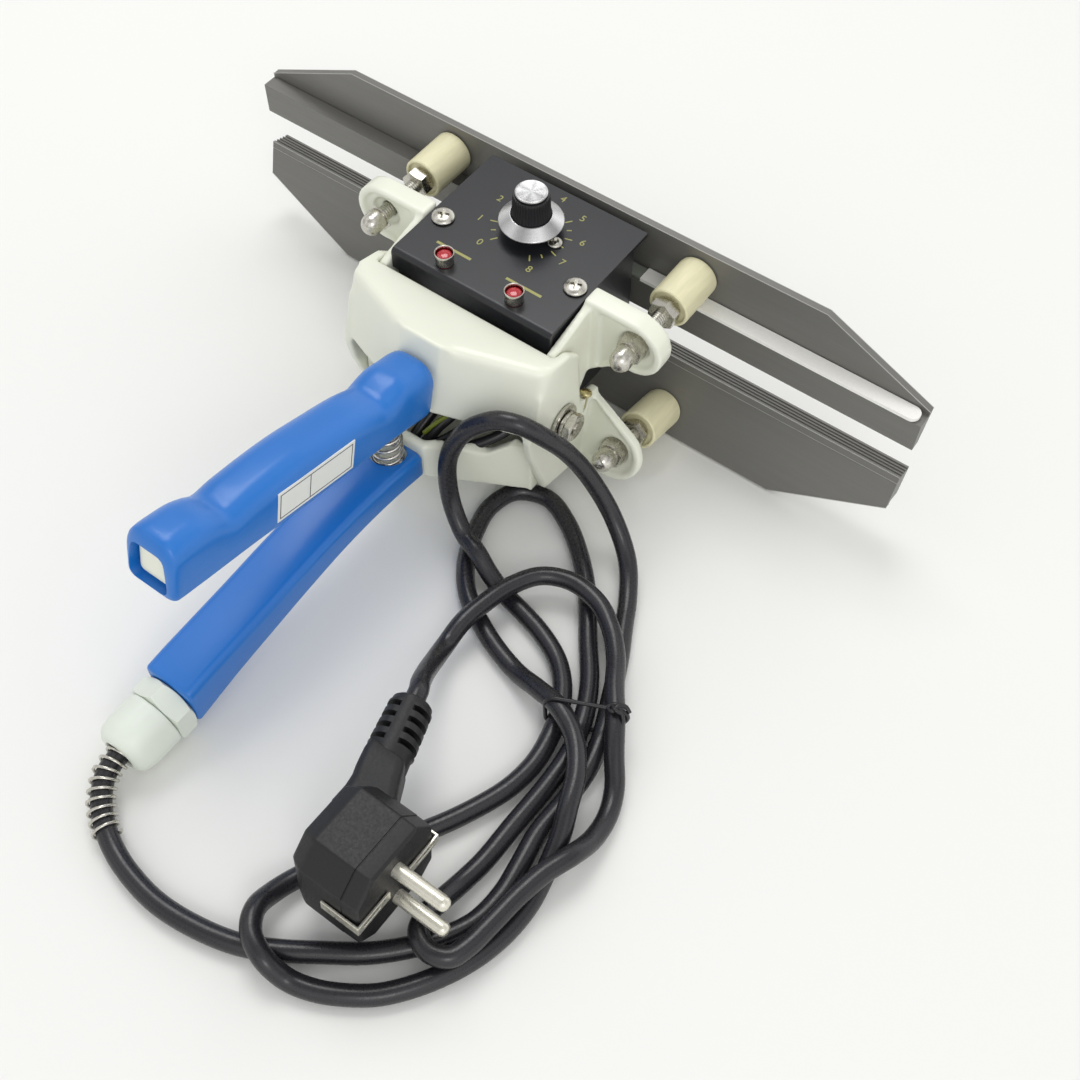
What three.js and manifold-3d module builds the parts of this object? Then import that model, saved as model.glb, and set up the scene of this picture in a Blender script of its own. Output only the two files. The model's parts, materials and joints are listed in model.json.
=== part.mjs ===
// Handheld heat sealer: two cast arms crossing at a hinge, in millimetres
// Jaws toward +Y, grips toward -Y, +Z up
import * as THREE from 'three';
import * as BufferGeometryUtils from 'three/addons/utils/BufferGeometryUtils.js';
import Module from 'manifold-3d';

const wasm = await Module();
wasm.setup();

// Shared values
const clearance = 0.3;
const overrun = 1;
const weldStep = 1e-4;
const roundSides = 24;
const smallSides = 16;
const half = 0.5;

// Stance: how far each arm is turned about the hinge from the closed pose, in radians
const lowerArmTilt = THREE.MathUtils.degToRad(5.39);
const upperArmTilt = THREE.MathUtils.degToRad(9.38);
const jawPlane = 2.72;

// Jaws, heights counted from the sealing plane
const jawHalfLength = 150;
const jawNearFace = 59.73;
const jawToeDepth = 4.6;
const jawHeelDepth = 5.2;
const jawHeelHeight = 3;
const jawDepth = 8.8;
const jawFlareHeight = 15;
const jawLedgeHeight = 13.2;
const jawHeight = 35.2;
const jawPlate = 2.6;
const jawBevel = 44.4;
const jawFarFace = jawNearFace + jawDepth;
const jawLine = 2.9;
const jawGrooves = 4;
const jawGrooveWidth = 1.1;
const jawGrooveDepth = 0.6;
const stripThickness = 1.2;
const stripEndGap = 2;

// Studs that carry the jaws, one pair on each arm
const studX = 55.2;
const studRise = 23.78;
const studRadius = 2.85;
const studHoleRadius = studRadius + clearance;
const insulatorRadius = 8;
const insulatorLength = 20;
const insulatorEdge = 0.8;
const insulatorCupRadius = 6.6;
const insulatorCupDepth = 1.3;
const lockNutFlats = 10;
const lockNutLength = 6;
const acornFlats = 9.4;
const acornHexLength = 6;
const acornDomeRadius = 4.5;
const acornLength = 14;
const acornWall = 1.6;
const studEngage = 9;
const jawScrewRadius = 2.6;
const jawScrewHead = 4.7;
const jawScrewHeadDepth = 2.1;
const jawScrewLength = 11;

// Wings that hold the studs; those of the upper arm are thin, with a boss round each stud
const wingRear = 22;
const wingFront = 30;
const thinWingRear = 21;
const thinWingFront = 25;
const bossFront = 28.5;
const bossRadius = 7.4;
const lobeRadius = 12;
const waistAngle = THREE.MathUtils.degToRad(254);
const lobeSteps = 14;
const wingRim = 3;
const wingRecess = 2;
const counterboreRadius = 5.8;
const counterboreDepth = 4.2;
const wingRootGap = 1.2;

// Cheeks of the lower arm and walls of the upper arm, beside each other on the hinge
const cheekInner = 34.8;
const cheekThickness = 3.5;
const cheekOuter = cheekInner + cheekThickness;
const armGap = 0.4;
const wallInner = cheekOuter + armGap;
const wallThickness = 3.6;
const wallOuter = wallInner + wallThickness;

// Hub of the upper arm, closed above
const hubTop = 31;
const hubRoof = 3;
const hubRear = -32.5;
const hubRearHalfWidth = 8;
const hubCornerY = -18.4;
const hubRoofFront = -8.8;
const hubFloorLine = 1.6;
const hubWallRear = -16;
const wallHeelY = -20;
const wallElbowY = -15.6;
const wallElbowZ = -10;
const wallToeY = -1;
const wallBrowY = -3.7;
const wallFrontY = 3.1;
const wallFrontZ = 27.7;
const wallCrookY = 12.9;
const wallCrookZ = 0.4;

// Rear body of the lower arm, open above
const capeRear = -39;
const capeRearHalfWidth = 10;
const capeCornerX = 36;
const capeCornerY = -13;
const capeSideY = -10;
const capeFront = 14;
const capeFloor = -33;
const capeRearFloor = -17;
const capeFloorFront = 4;
const capeFrontTop = -16;
const capeFrontToe = -20;
const capeWall = 3.5;
const capeRimRear = 0.7;
const capeRimMidX = 20;
const capeRimMid = -4;
const capeNotchX = 25;
const capeNotch = -8.5;
const capeLugX = 31.5;
const capeLug = -5;
const capeRimSide = -8;
const cheekTipY = -0.1;
const cheekTipZ = 30.9;
const cheekNeckY = -4;
const cheekNeckZ = 12;
const cheekBackY = -8;
const cheekChinZ = -8;

// Hinge bolts
const pivotRadius = 3;
const pivotHeadRadius = 4.5;
const pivotHeadThickness = 3.2;
const pivotWasherRadius = 7.2;
const pivotWasherThickness = 1.4;
const pivotNutFlats = 10;
const pivotNutThickness = 4.5;
const pivotBoltProud = 0.5;
const pivotHoleRadius = pivotRadius + clearance;

// Tangs inside the grips
const upperTangHalfWidth = 6.5;
const upperTangHalfHeight = 6.2;
const lowerTangHalfWidth = 8.2;
const lowerTangHalfHeight = 4.6;
const tangCorner = 2;
const tangEmbed = 2;
const upperGripCorner = 4;
const lowerGripCorner = 2.6;
const cornerSteps = 4;

// Grip outlines along the arm: place, bottom and top of each section
const upperGripHalfWidth = 9.9;
const upperGripLength = 122.2;
const upperGripHeight = 24.4;
const upperGripShares = [
  { along: 0, bottom: 0.131, top: 0.94 },
  { along: 0.0245, bottom: 0.102, top: 1 },
  { along: 0.1391, bottom: 0.102, top: 0.99 },
  { along: 0.17, bottom: 0.107, top: 0.94 },
  { along: 0.205, bottom: 0.111, top: 0.853 },
  { along: 0.2373, bottom: 0.115, top: 0.87 },
  { along: 0.3028, bottom: 0.115, top: 0.93 },
  { along: 0.3846, bottom: 0.107, top: 0.965 },
  { along: 0.4992, bottom: 0.107, top: 0.98 },
  { along: 0.6792, bottom: 0.123, top: 0.93 },
  { along: 0.79, bottom: 0.131, top: 0.85 },
  { along: 0.82, bottom: 0.131, top: 0.9 },
  { along: 0.86, bottom: 0.127, top: 0.985 },
  { along: 0.965, bottom: 0.107, top: 0.99 },
  { along: 1, bottom: 0.164, top: 0.93 },
];
const upperTangShares = [
  { along: 0.0164, rise: 0.516 },
  { along: 0.1473, rise: 0.508 },
  { along: 0.2291, rise: 0.451 },
];
const lowerGripHalfWidth = 10;
const lowerGripLength = 117.7;
const lowerGripDepth = 22;
const lowerGripShares = [
  { along: 0, bottom: 1, top: 0.155 },
  { along: 0.0595, bottom: 0.936, top: 0.118 },
  { along: 0.1614, bottom: 0.827, top: 0.086 },
  { along: 0.3144, bottom: 0.718, top: 0.045 },
  { along: 0.4843, bottom: 0.609, top: -0.018 },
  { along: 0.6627, bottom: 0.545, top: -0.041 },
  { along: 0.8411, bottom: 0.6, top: 0.014 },
  { along: 1, bottom: 0.745, top: 0.155 },
];
const lowerTangRearShare = { along: 0.0085, rise: 0.573 };
const lowerTangFrontShare = 0.45;

const upperGripFront = hubRear - clearance;
const upperGripRear = upperGripFront - upperGripLength;
const upperGripSections = upperGripShares.map(({ along, bottom, top }) => ({
  y: upperGripRear + along * upperGripLength,
  bottom: bottom * upperGripHeight,
  top: top * upperGripHeight,
}));
const lowerGripFront = capeRear - clearance;
const lowerGripRear = lowerGripFront - lowerGripLength;
const lowerGripSections = lowerGripShares.map(({ along, bottom, top }) => ({
  y: lowerGripRear + along * lowerGripLength,
  bottom: -bottom * lowerGripDepth,
  top: -top * lowerGripDepth,
}));

// Spring between the arms, placed on the lower arm
const springFootY = -46.5;
const springFootZ = -6;
const springHeadY = -49;
const springHeadZ = 7.6;
const springRadius = 5.2;
const springWire = 0.65;
const springTurns = 7;
const springCurlSteps = 8;
const springSides = 5;
const springHoleRadius = 6.8;

// Control box between the cheeks
const boxHalfWidth = cheekInner - clearance - clearance;
const boxRear = 5.2;
const boxFront = 55;
const boxFloor = -14;
const boxSheet = 1.2;
const coverTop = 37;
const coverSheet = 1.6;
const coverHalfWidth = cheekInner - clearance;
const coverRear = 2.9;
const coverFront = 62.9;
const coverFold = 8.8;
const boxTop = coverTop - coverSheet - clearance;
const coverScrewX = 28.9;
const coverScrewY = 25.8;
const coverScrewHead = 4.3;
const coverScrewHeadHeight = 2;
const coverScrewRadius = 1.9;
const coverScrewLength = 8;
const dialScrewX = 10.9;
const dialScrewY = 39;
const dialScrewHead = 2.7;
const dialScrewHeadHeight = 1.4;
const dialScrewRadius = 1.2;
const dialScrewLength = 6;

// Lamps on the cover
const lampX = 15.06;
const lampY = 8.98;
const bezelRadius = 3.7;
const bezelHeight = 4.6;
const lensRadius = 2.9;
const lensRise = 4.2;

// Knob and its potentiometer
const knobY = 39.7;
const knobGap = 4.5;
const skirtRadius = 11.8;
const skirtTopRadius = 8;
const skirtHeight = 3.6;
const skirtRim = 0.7;
const knobRadius = 7.2;
const knobTopRadius = 6.6;
const knobHeight = 12.4;
const knobCapRadius = 5.8;
const knobCapHeight = 1;
const knobBoreDepth = 9;
const shaftRadius = 3;
const bushRadius = 4.4;
const bushRise = 3.2;
const potRadius = 8.2;
const potDepth = 12;

// Circuit board inside the box
const boardHalfWidth = 26;
const boardRear = 12;
const boardFront = 49;
const boardThickness = 1.6;
const boardRise = 12;
const postRadius = 2.2;
const postInset = 4;
const blockX = 12;
const blockY = 22;
const blockHalfWidth = 9;
const blockHalfDepth = 7;
const blockHeight = 9;

// Earth screw on the top edge of the right wall of the upper arm
const earthScrewY = 17.5;
const earthScrewSide = 0.5;
const earthScrewHead = 2.3;
const earthScrewHeadHeight = 1.8;
const earthScrewRadius = 1.1;
const earthScrewLength = 7;

// Cable gland behind the lower grip
const glandRear = lowerGripRear - clearance;
const glandHexLength = 7.6;
const glandFlats = 20;
const glandNutRadius = 11;
const glandNutLength = 9;
const glandDomeLength = 7.4;
const glandMouthRadius = 6.4;
const glandSpigotRadius = 7;
const glandSpigotLength = 6;
const cordRadius = 3.4;
const glandBoreRadius = cordRadius + clearance;
const reliefWire = 0.5;
const reliefRadius = (cordRadius + clearance + reliefWire) / Math.cos(Math.PI / springCurlSteps);
const reliefBoreRadius = reliefRadius + reliefWire + clearance;
const reliefBoreDepth = 4;
const reliefTurns = 10;
const reliefPitch = 3.1;

// Plug, in its own frame: pins along +X, cord leaving toward +Y
const plugPlace = { x: 101, y: -108.6, z: 26.4 };
const plugHalfWidth = 17.2;
const plugHalfHeight = 19;
const plugChamfer = 6;
const plugDepth = 31;
const plugShoulder = 22;
const plugBackShare = 0.74;
const plugNeck = { x: -24, near: 12, far: 21.5, halfWidth: 8.2, halfHeight: 9 };
const plugTail = {
  fromX: -24.5, fromY: 19, toX: -33.5, toY: 49, wide: 7.6, narrow: 6.5, ribs: 6, ribDepth: 1,
};
const pinRadius = 2.4;
const pinSpacing = 19;
const pinLength = 19;
const pinSocket = 8;
const clipWidth = 4.4;
const clipSheet = 0.8;
const clipStart = 4;
const clipWrap = 13;

// Tie round the bundle of cord
const tiePlace = { x: 108.5, y: -21 };
const tieTurn = THREE.MathUtils.degToRad(26);
const tieFrom = -20;
const tieTo = 17;
const tieLow = 0.1;
const tieHigh = 18;
const tieSheet = 1;
const tieWidth = 3;
const tieCorner = 6;
const tieKnotRadius = 1.6;
const tieKnotLength = 4;

// Route of the cord as it lies in the photograph
const cordRoute = [
  [0, -103, 12.2], [0, -113, 11.3], [0, -122, 10.4], [1, -130, 9.2], [5, -136.5, 7.2],
  [11, -141.5, 5.3], [19, -145.5, 3.9], [29, -148.3, 3.6], [42, -149.7, 3.6], [57, -148, 3.6],
  [70, -144.3, 3.6], [80, -139, 3.6], [91, -131.5, 3.6], [101, -124.3, 3.6], [109, -116.5, 3.6],
  [116, -107.5, 3.6], [121.3, -97, 3.6], [122.6, -85, 3.6], [121.3, -74, 3.6], [119.6, -62, 3.6],
  [120, -47, 3.6], [119.4, -33, 4.4], [115.8, -19.6, 5.1], [110.4, -6.6, 4.2], [104, 8.4, 3.6],
  [98, 20, 3.6], [93, 30, 4], [84.5, 42, 8], [72.5, 48.5, 18], [61, 47.5, 33],
  [53.8, 42, 46], [48.5, 35, 56], [42, 30.2, 61.5], [35, 27.6, 61.5], [30, 26, 58.5],
  [25, 23.8, 53.5], [21.5, 22, 47], [19.8, 19.6, 39], [21, 17.5, 30], [25, 15.5, 19.5],
  [33, 12.4, 11.8], [40.5, 9.8, 11], [48, 7.4, 7], [56, 5.4, 4], [66, 3.2, 3.6],
  [77, -0.2, 3.6], [87, -5.4, 3.8], [94.6, -13, 4.6], [100, -22.4, 5.1], [103, -32.6, 4.4],
  [104.2, -43, 3.6], [102.8, -55, 3.6], [98, -68.6, 3.6], [91, -82.6, 3.6], [80, -99, 3.6],
  [71, -115, 3.6], [67.6, -127, 6], [68.6, -135.6, 10.6], [73, -141.6, 11.2], [80.5, -144.6, 9.8],
  [88, -144, 4.6], [96, -141.6, 3.6], [104, -137.4, 3.6], [112.4, -131, 3.6], [120.6, -120.5, 3.6],
  [127, -108, 3.6], [130.4, -95.6, 3.6], [131, -82.6, 3.6], [128.8, -70, 3.8], [126.6, -60, 7.4],
  [123.5, -52, 10.4], [119, -41, 11.8], [111, -31, 12.5], [101, -25.4, 13], [91, -22.2, 9.6],
  [80, -18.6, 4.4], [70, -15.4, 3.6], [59, -10.6, 3.6], [46, -2.6, 3.6], [37, 8.4, 3.6],
  [31, 22.4, 3.6], [28.6, 34.4, 3.6], [32, 46, 3.6], [43, 50.8, 3.6], [56, 45.6, 3.6],
  [70, 34.4, 3.6], [80, 23.4, 3.6], [91.6, 7, 3.6], [101.4, -6.6, 4.4], [108, -20, 5.1],
  [111.4, -32.6, 4.4], [112.2, -47, 3.6], [111.8, -64, 3.6], [111.6, -80, 3.6], [110.4, -90, 4],
  [109.6, -98.6, 6.4], [109.6, -106.6, 9.7], [111.9, -112.3, 11], [117.6, -114.6, 11.1], [123.3, -112.3, 11.1],
  [125.6, -106.6, 11.1], [127, -96, 11.1], [128.2, -85, 11.1], [130.4, -74, 11.1], [133.8, -64, 10.4],
  [135, -54, 6], [134, -44, 4], [130.6, -35, 5], [124.6, -27, 9.4], [117.6, -16.5, 12.7],
  [111, -7, 12.5], [105, 3, 11.6], [97.4, 11.6, 11.2], [87, 18.4, 11.2], [75, 20, 11.2],
  [65, 15.4, 11.2], [59, 5.4, 11.2], [56.2, -6, 11.2], [54.8, -17, 10.8], [55.2, -27, 9],
  [57.4, -36, 12.5], [60.4, -44.4, 18.4], [63.6, -51, 23.8], [65.8, -54.6, 26], [67.2, -58.8, 26.4],
];
const cordSeat = 3.8;
const cordFollows = 8;
const cordSteps = 168;
const cordSides = 8;

// Colours
const finish = {
  casting: { color: 0xe1e3d0, roughness: 0.5, metalness: 0 },
  grip: { color: 0x2d7ddc, roughness: 0.35, metalness: 0 },
  jaw: { color: 0x6e6e69, roughness: 0.4, metalness: 0.7 },
  steel: { color: 0xc8c8c4, roughness: 0.25, metalness: 1 },
  zinc: { color: 0xb4b2a8, roughness: 0.35, metalness: 1 },
  ceramic: { color: 0xe1deb9, roughness: 0.6, metalness: 0 },
  panel: { color: 0x46464e, roughness: 0.5, metalness: 0.2 },
  black: { color: 0x1c1b1d, roughness: 0.45, metalness: 0 },
  aluminium: { color: 0xd2d2d2, roughness: 0.3, metalness: 1 },
  lens: { color: 0xaa1928, roughness: 0.15, metalness: 0 },
  board: { color: 0x2f6b3a, roughness: 0.6, metalness: 0 },
  brass: { color: 0xc8a44c, roughness: 0.3, metalness: 1 },
  gland: { color: 0xe1e6dc, roughness: 0.45, metalness: 0 },
  cord: { color: 0x373436, roughness: 0.45, metalness: 0 },
};

// Solids and meshes
function solidOf(geometry) {
  const bare = new THREE.BufferGeometry();
  bare.setAttribute('position', geometry.getAttribute('position'));
  bare.setIndex(geometry.index);
  const merged = BufferGeometryUtils.mergeVertices(bare, weldStep);
  const numProp = 3;
  const vertProperties = Float32Array.from(merged.getAttribute('position').array);
  const triVerts = Uint32Array.from(merged.index.array);
  return new wasm.Manifold(new wasm.Mesh({ numProp, vertProperties, triVerts }));
}

function geometryOf(solid) {
  const result = solid.getMesh();
  const geometry = new THREE.BufferGeometry();
  geometry.setAttribute('position', new THREE.BufferAttribute(result.vertProperties, result.numProp));
  geometry.setIndex(new THREE.BufferAttribute(result.triVerts, 1));
  geometry.computeVertexNormals();
  return geometry;
}

function join(first, ...others) {
  return geometryOf(others.reduce((sum, other) => sum.add(solidOf(other)), solidOf(first)));
}

function cut(first, ...others) {
  return geometryOf(others.reduce((rest, other) => rest.subtract(solidOf(other)), solidOf(first)));
}

function common(first, ...others) {
  return geometryOf(others.reduce((rest, other) => rest.intersect(solidOf(other)), solidOf(first)));
}

function mesh(name, geometry, kind) {
  const made = new THREE.Mesh(geometry, new THREE.MeshStandardMaterial(finish[kind]));
  made.name = name;
  return made;
}

// Plain shapes
function box(x0, x1, y0, y1, z0, z1) {
  const shape = new THREE.BoxGeometry(x1 - x0, y1 - y0, z1 - z0);
  return shape.translate((x0 + x1) * half, (y0 + y1) * half, (z0 + z1) * half);
}

function rodY(radius, y0, y1, x, z, sides = roundSides) {
  const rod = new THREE.CylinderGeometry(radius, radius, y1 - y0, sides);
  return rod.translate(x, (y0 + y1) * half, z);
}

function rodX(radius, x0, x1, y, z, sides = roundSides) {
  const rod = new THREE.CylinderGeometry(radius, radius, x1 - x0, sides);
  return rod.rotateZ(-Math.PI * half).translate((x0 + x1) * half, y, z);
}

function rodZ(radius, z0, z1, x, y, sides = roundSides) {
  const rod = new THREE.CylinderGeometry(radius, radius, z1 - z0, sides);
  return rod.rotateX(Math.PI * half).translate(x, y, (z0 + z1) * half);
}

function hexRadius(flats) {
  return flats / Math.sqrt(3);
}

function extrude(outline, depth) {
  const shape = new THREE.Shape(outline.map(([a, b]) => new THREE.Vector2(a, b)));
  return new THREE.ExtrudeGeometry(shape, { depth, bevelEnabled: false });
}

function prismX(outline, x0, x1) {
  const turn = new THREE.Matrix4().makeBasis(
    new THREE.Vector3(0, 1, 0), new THREE.Vector3(0, 0, 1), new THREE.Vector3(1, 0, 0));
  return extrude(outline, x1 - x0).applyMatrix4(turn).translate(x0, 0, 0);
}

function prismY(outline, y0, y1) {
  const turn = new THREE.Matrix4().makeBasis(
    new THREE.Vector3(1, 0, 0), new THREE.Vector3(0, 0, 1), new THREE.Vector3(0, -1, 0));
  return extrude(outline, y1 - y0).applyMatrix4(turn).translate(0, y1, 0);
}

function prismZ(outline, z0, z1) {
  return extrude(outline, z1 - z0).translate(0, 0, z0);
}

function lathe(profile, sides = roundSides) {
  return new THREE.LatheGeometry(profile.map(([r, y]) => new THREE.Vector2(r, y)), sides);
}

function mirrored(outline) {
  return [...outline, ...outline.filter(([a]) => a > 0).map(([a, b]) => [-a, b]).reverse()];
}

// Closed skin over rings of points that all have the same count
function loft(rings) {
  const count = rings[0].length;
  const points = rings.flat();
  const index = [];
  for (let ring = 0; ring + 1 < rings.length; ring += 1) {
    for (let side = 0; side < count; side += 1) {
      const next = (side + 1) % count;
      const a = ring * count + side;
      const b = ring * count + next;
      index.push(a, b, b + count, a, b + count, a + count);
    }
  }
  const last = (rings.length - 1) * count;
  for (let side = 1; side + 1 < count; side += 1) {
    index.push(0, side + 1, side, last, last + side, last + side + 1);
  }
  const geometry = new THREE.BufferGeometry();
  geometry.setAttribute('position', new THREE.Float32BufferAttribute(points.flatMap((p) => p.toArray()), 3));
  geometry.setIndex(index);
  geometry.computeVertexNormals();
  return geometry;
}

// Rounded rectangle across the arm, counted so that a loft toward +Y faces outward
function section(y, halfWidth, bottom, top, corner) {
  const ring = [];
  const midZ = (bottom + top) * half;
  const reachX = halfWidth - corner;
  const reachZ = (top - bottom) * half - corner;
  for (let quarter = 0; quarter < 4; quarter += 1) {
    for (let step = 0; step < cornerSteps; step += 1) {
      const angle = -(quarter + step / (cornerSteps - 1)) * Math.PI * half;
      const signX = Math.sign(Math.cos(-(quarter + half) * Math.PI * half));
      const signZ = Math.sign(Math.sin(-(quarter + half) * Math.PI * half));
      const x = signX * reachX + corner * Math.cos(angle);
      ring.push(new THREE.Vector3(x, y, midZ + signZ * reachZ + corner * Math.sin(angle)));
    }
  }
  return ring;
}

// Wire of a wound piece: a tube of few sides along a curve, as one unbroken closed skin
function wire(points, radius, sides) {
  const rings = [];
  let across = new THREE.Vector3(1, 0, 0);
  points.forEach((point, at) => {
    const ahead = points[Math.min(at + 1, points.length - 1)];
    const behind = points[Math.max(at - 1, 0)];
    const along = ahead.clone().sub(behind).normalize();
    across = across.clone().addScaledVector(along, -across.dot(along)).normalize();
    const up = along.clone().cross(across);
    const ring = [];
    for (let side = 0; side < sides; side += 1) {
      const angle = (2 * Math.PI * side) / sides;
      ring.push(point.clone()
        .addScaledVector(across, radius * Math.cos(angle))
        .addScaledVector(up, radius * Math.sin(angle)));
    }
    rings.push(ring);
  });
  return loft(rings);
}

// Least gap of a tube to itself, with points closer than `skip` along it left out
function leastGap(points, radius, skip) {
  let least = Infinity;
  const run = [0];
  for (let at = 1; at < points.length; at += 1) {
    run.push(run[at - 1] + points[at].distanceTo(points[at - 1]));
  }
  for (let a = 0; a < points.length; a += 1) {
    for (let b = a + 1; b < points.length; b += 1) {
      if (run[b] - run[a] > skip) {
        least = Math.min(least, points[a].distanceTo(points[b]) - 2 * radius);
      }
    }
  }
  return least;
}

// Where the lobe ends: at a waist on the lower arm, and where its edge runs on straight on the upper one
function lobeEnd(up) {
  if (up > 0) {
    return waistAngle;
  }
  const [x, rise] = [cheekOuter - studX, wingRootGap - studRise];
  return 2 * Math.PI + Math.atan2(rise, x) + Math.acos(lobeRadius / Math.hypot(x, rise));
}

function wingSpan(up) {
  return up > 0 ? { rear: wingRear, front: wingFront } : { rear: thinWingRear, front: thinWingFront };
}

function acornSeat(up) {
  return wingSpan(up).rear + counterboreDepth - clearance;
}

// A wing, with its lobe round the stud; up is 1 on the lower arm and -1 on the upper one
function wingOutline(side, up, rootX, inset) {
  const radius = lobeRadius - inset;
  const end = lobeEnd(up);
  const place = (x, rise) => [side * x, jawPlane + up * rise];
  const outline = [place(rootX + inset, studRise + radius)];
  for (let step = 0; step <= lobeSteps; step += 1) {
    const angle = Math.PI * half - (step / lobeSteps) * (2 * Math.PI - end + Math.PI * half);
    outline.push(place(studX + radius * Math.cos(angle), studRise + radius * Math.sin(angle)));
  }
  outline.push(place(cheekOuter + inset, wingRootGap + inset));
  if (rootX < cheekOuter) {
    outline.push(place(rootX + inset, wingRootGap + inset));
  }
  return outline;
}

function studPlace(side, up) {
  return { x: side * studX, z: jawPlane + up * studRise };
}

function addWings(body, rootX, up) {
  const { rear, front } = wingSpan(up);
  const added = [];
  const cuts = [];
  [1, -1].forEach((side) => {
    const { x, z } = studPlace(side, up);
    added.push(prismY(wingOutline(side, up, rootX, 0), rear, front));
    if (bossFront > front) {
      added.push(rodY(bossRadius, front - overrun, bossFront, x, z));
    }
    cuts.push(
      prismY(wingOutline(side, up, cheekOuter, wingRim), rear - overrun, rear + wingRecess),
      rodY(counterboreRadius, rear - overrun, rear + counterboreDepth, x, z),
      rodY(studHoleRadius, rear - overrun, Math.max(front, bossFront) + overrun, x, z),
    );
  });
  return cut(join(body, ...added), ...cuts);
}

// Outline shrunk by a wall, for shapes that bulge outward everywhere and run anticlockwise
function insetOutline(outline, wall) {
  const count = outline.length;
  const lines = outline.map(([x, y], at) => {
    const [nextX, nextY] = outline[(at + 1) % count];
    const length = Math.hypot(nextX - x, nextY - y);
    const along = [(nextX - x) / length, (nextY - y) / length];
    return { from: [x - along[1] * wall, y + along[0] * wall], along };
  });
  return lines.map((line, at) => {
    const before = lines[(at + count - 1) % count];
    const [dx, dy] = [line.from[0] - before.from[0], line.from[1] - before.from[1]];
    const turn = before.along[0] * line.along[1] - before.along[1] * line.along[0];
    const reach = (dx * line.along[1] - dy * line.along[0]) / turn;
    return [before.from[0] + before.along[0] * reach, before.from[1] + before.along[1] * reach];
  });
}

// Place of the arms: the lower jaw's edge and the cable gland stand on the table
const lowerPlateFar = jawNearFace + jawPlate;
const hingeZ = lowerPlateFar * Math.sin(upperArmTilt) + (jawHeight - jawPlane) * Math.cos(upperArmTilt);
const glandShoulder = glandRear - glandHexLength - clearance - glandNutLength;
const glandEnd = glandShoulder - glandDomeLength;
const glandZ = (glandNutRadius - hingeZ - glandShoulder * Math.sin(lowerArmTilt)) / Math.cos(lowerArmTilt);
const rearReach = glandEnd * Math.cos(lowerArmTilt) - (glandZ + glandMouthRadius) * Math.sin(lowerArmTilt);
const frontReach = jawFarFace * Math.cos(upperArmTilt) + jawPlane * Math.sin(upperArmTilt);
const hingeY = -(rearReach + frontReach) * half;

// Spring pocket, the same cut in every piece that the spring stands through
function springAxis(arm) {
  const open = lowerArmTilt + upperArmTilt;
  const turned = (y, z, angle) => new THREE.Vector3(
    0, y * Math.cos(angle) - z * Math.sin(angle), y * Math.sin(angle) + z * Math.cos(angle));
  const foot = new THREE.Vector3(0, springFootY, springFootZ);
  const head = turned(springHeadY, springHeadZ, -open);
  if (arm === 'lower') {
    return { foot, head };
  }
  return { foot: turned(foot.y, foot.z, open), head: new THREE.Vector3(0, springHeadY, springHeadZ) };
}

function springPocket(arm) {
  const { foot, head } = springAxis(arm);
  const axis = head.clone().sub(foot);
  const pocket = new THREE.CylinderGeometry(springHoleRadius, springHoleRadius, axis.length(), roundSides);
  const turn = new THREE.Quaternion().setFromUnitVectors(
    new THREE.Vector3(0, 1, 0), axis.clone().normalize());
  return pocket.applyQuaternion(turn).translate(...foot.clone().add(head).multiplyScalar(half).toArray());
}

function tang(path, halfWidth, halfHeight) {
  return loft(path.map(({ y, z }) => section(y, halfWidth, z - halfHeight, z + halfHeight, tangCorner)));
}

function sleeveBore(path, halfWidth, halfHeight) {
  const [first, last] = [path[0], path[path.length - 1]];
  const ends = [{ y: first.y - capeWall, z: first.z }, ...path, { y: last.y + capeWall, z: last.z }];
  return tang(ends, halfWidth + clearance, halfHeight + clearance);
}

const upperTangPath = upperTangShares.map(({ along, rise }) => ({
  y: upperGripRear + along * upperGripLength,
  z: rise * upperGripHeight,
}));
upperTangPath.push({ y: hubRear + tangEmbed, z: upperTangPath[upperTangPath.length - 1].z });
const lowerTangPath = [
  {
    y: lowerGripRear + lowerTangRearShare.along * lowerGripLength,
    z: -lowerTangRearShare.rise * lowerGripDepth,
  },
  ...lowerGripSections.slice(1, -1).map(({ y, bottom, top }) => ({ y, z: (bottom + top) * half })),
  { y: capeRear + tangEmbed, z: -lowerTangFrontShare * lowerGripDepth },
];

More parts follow.
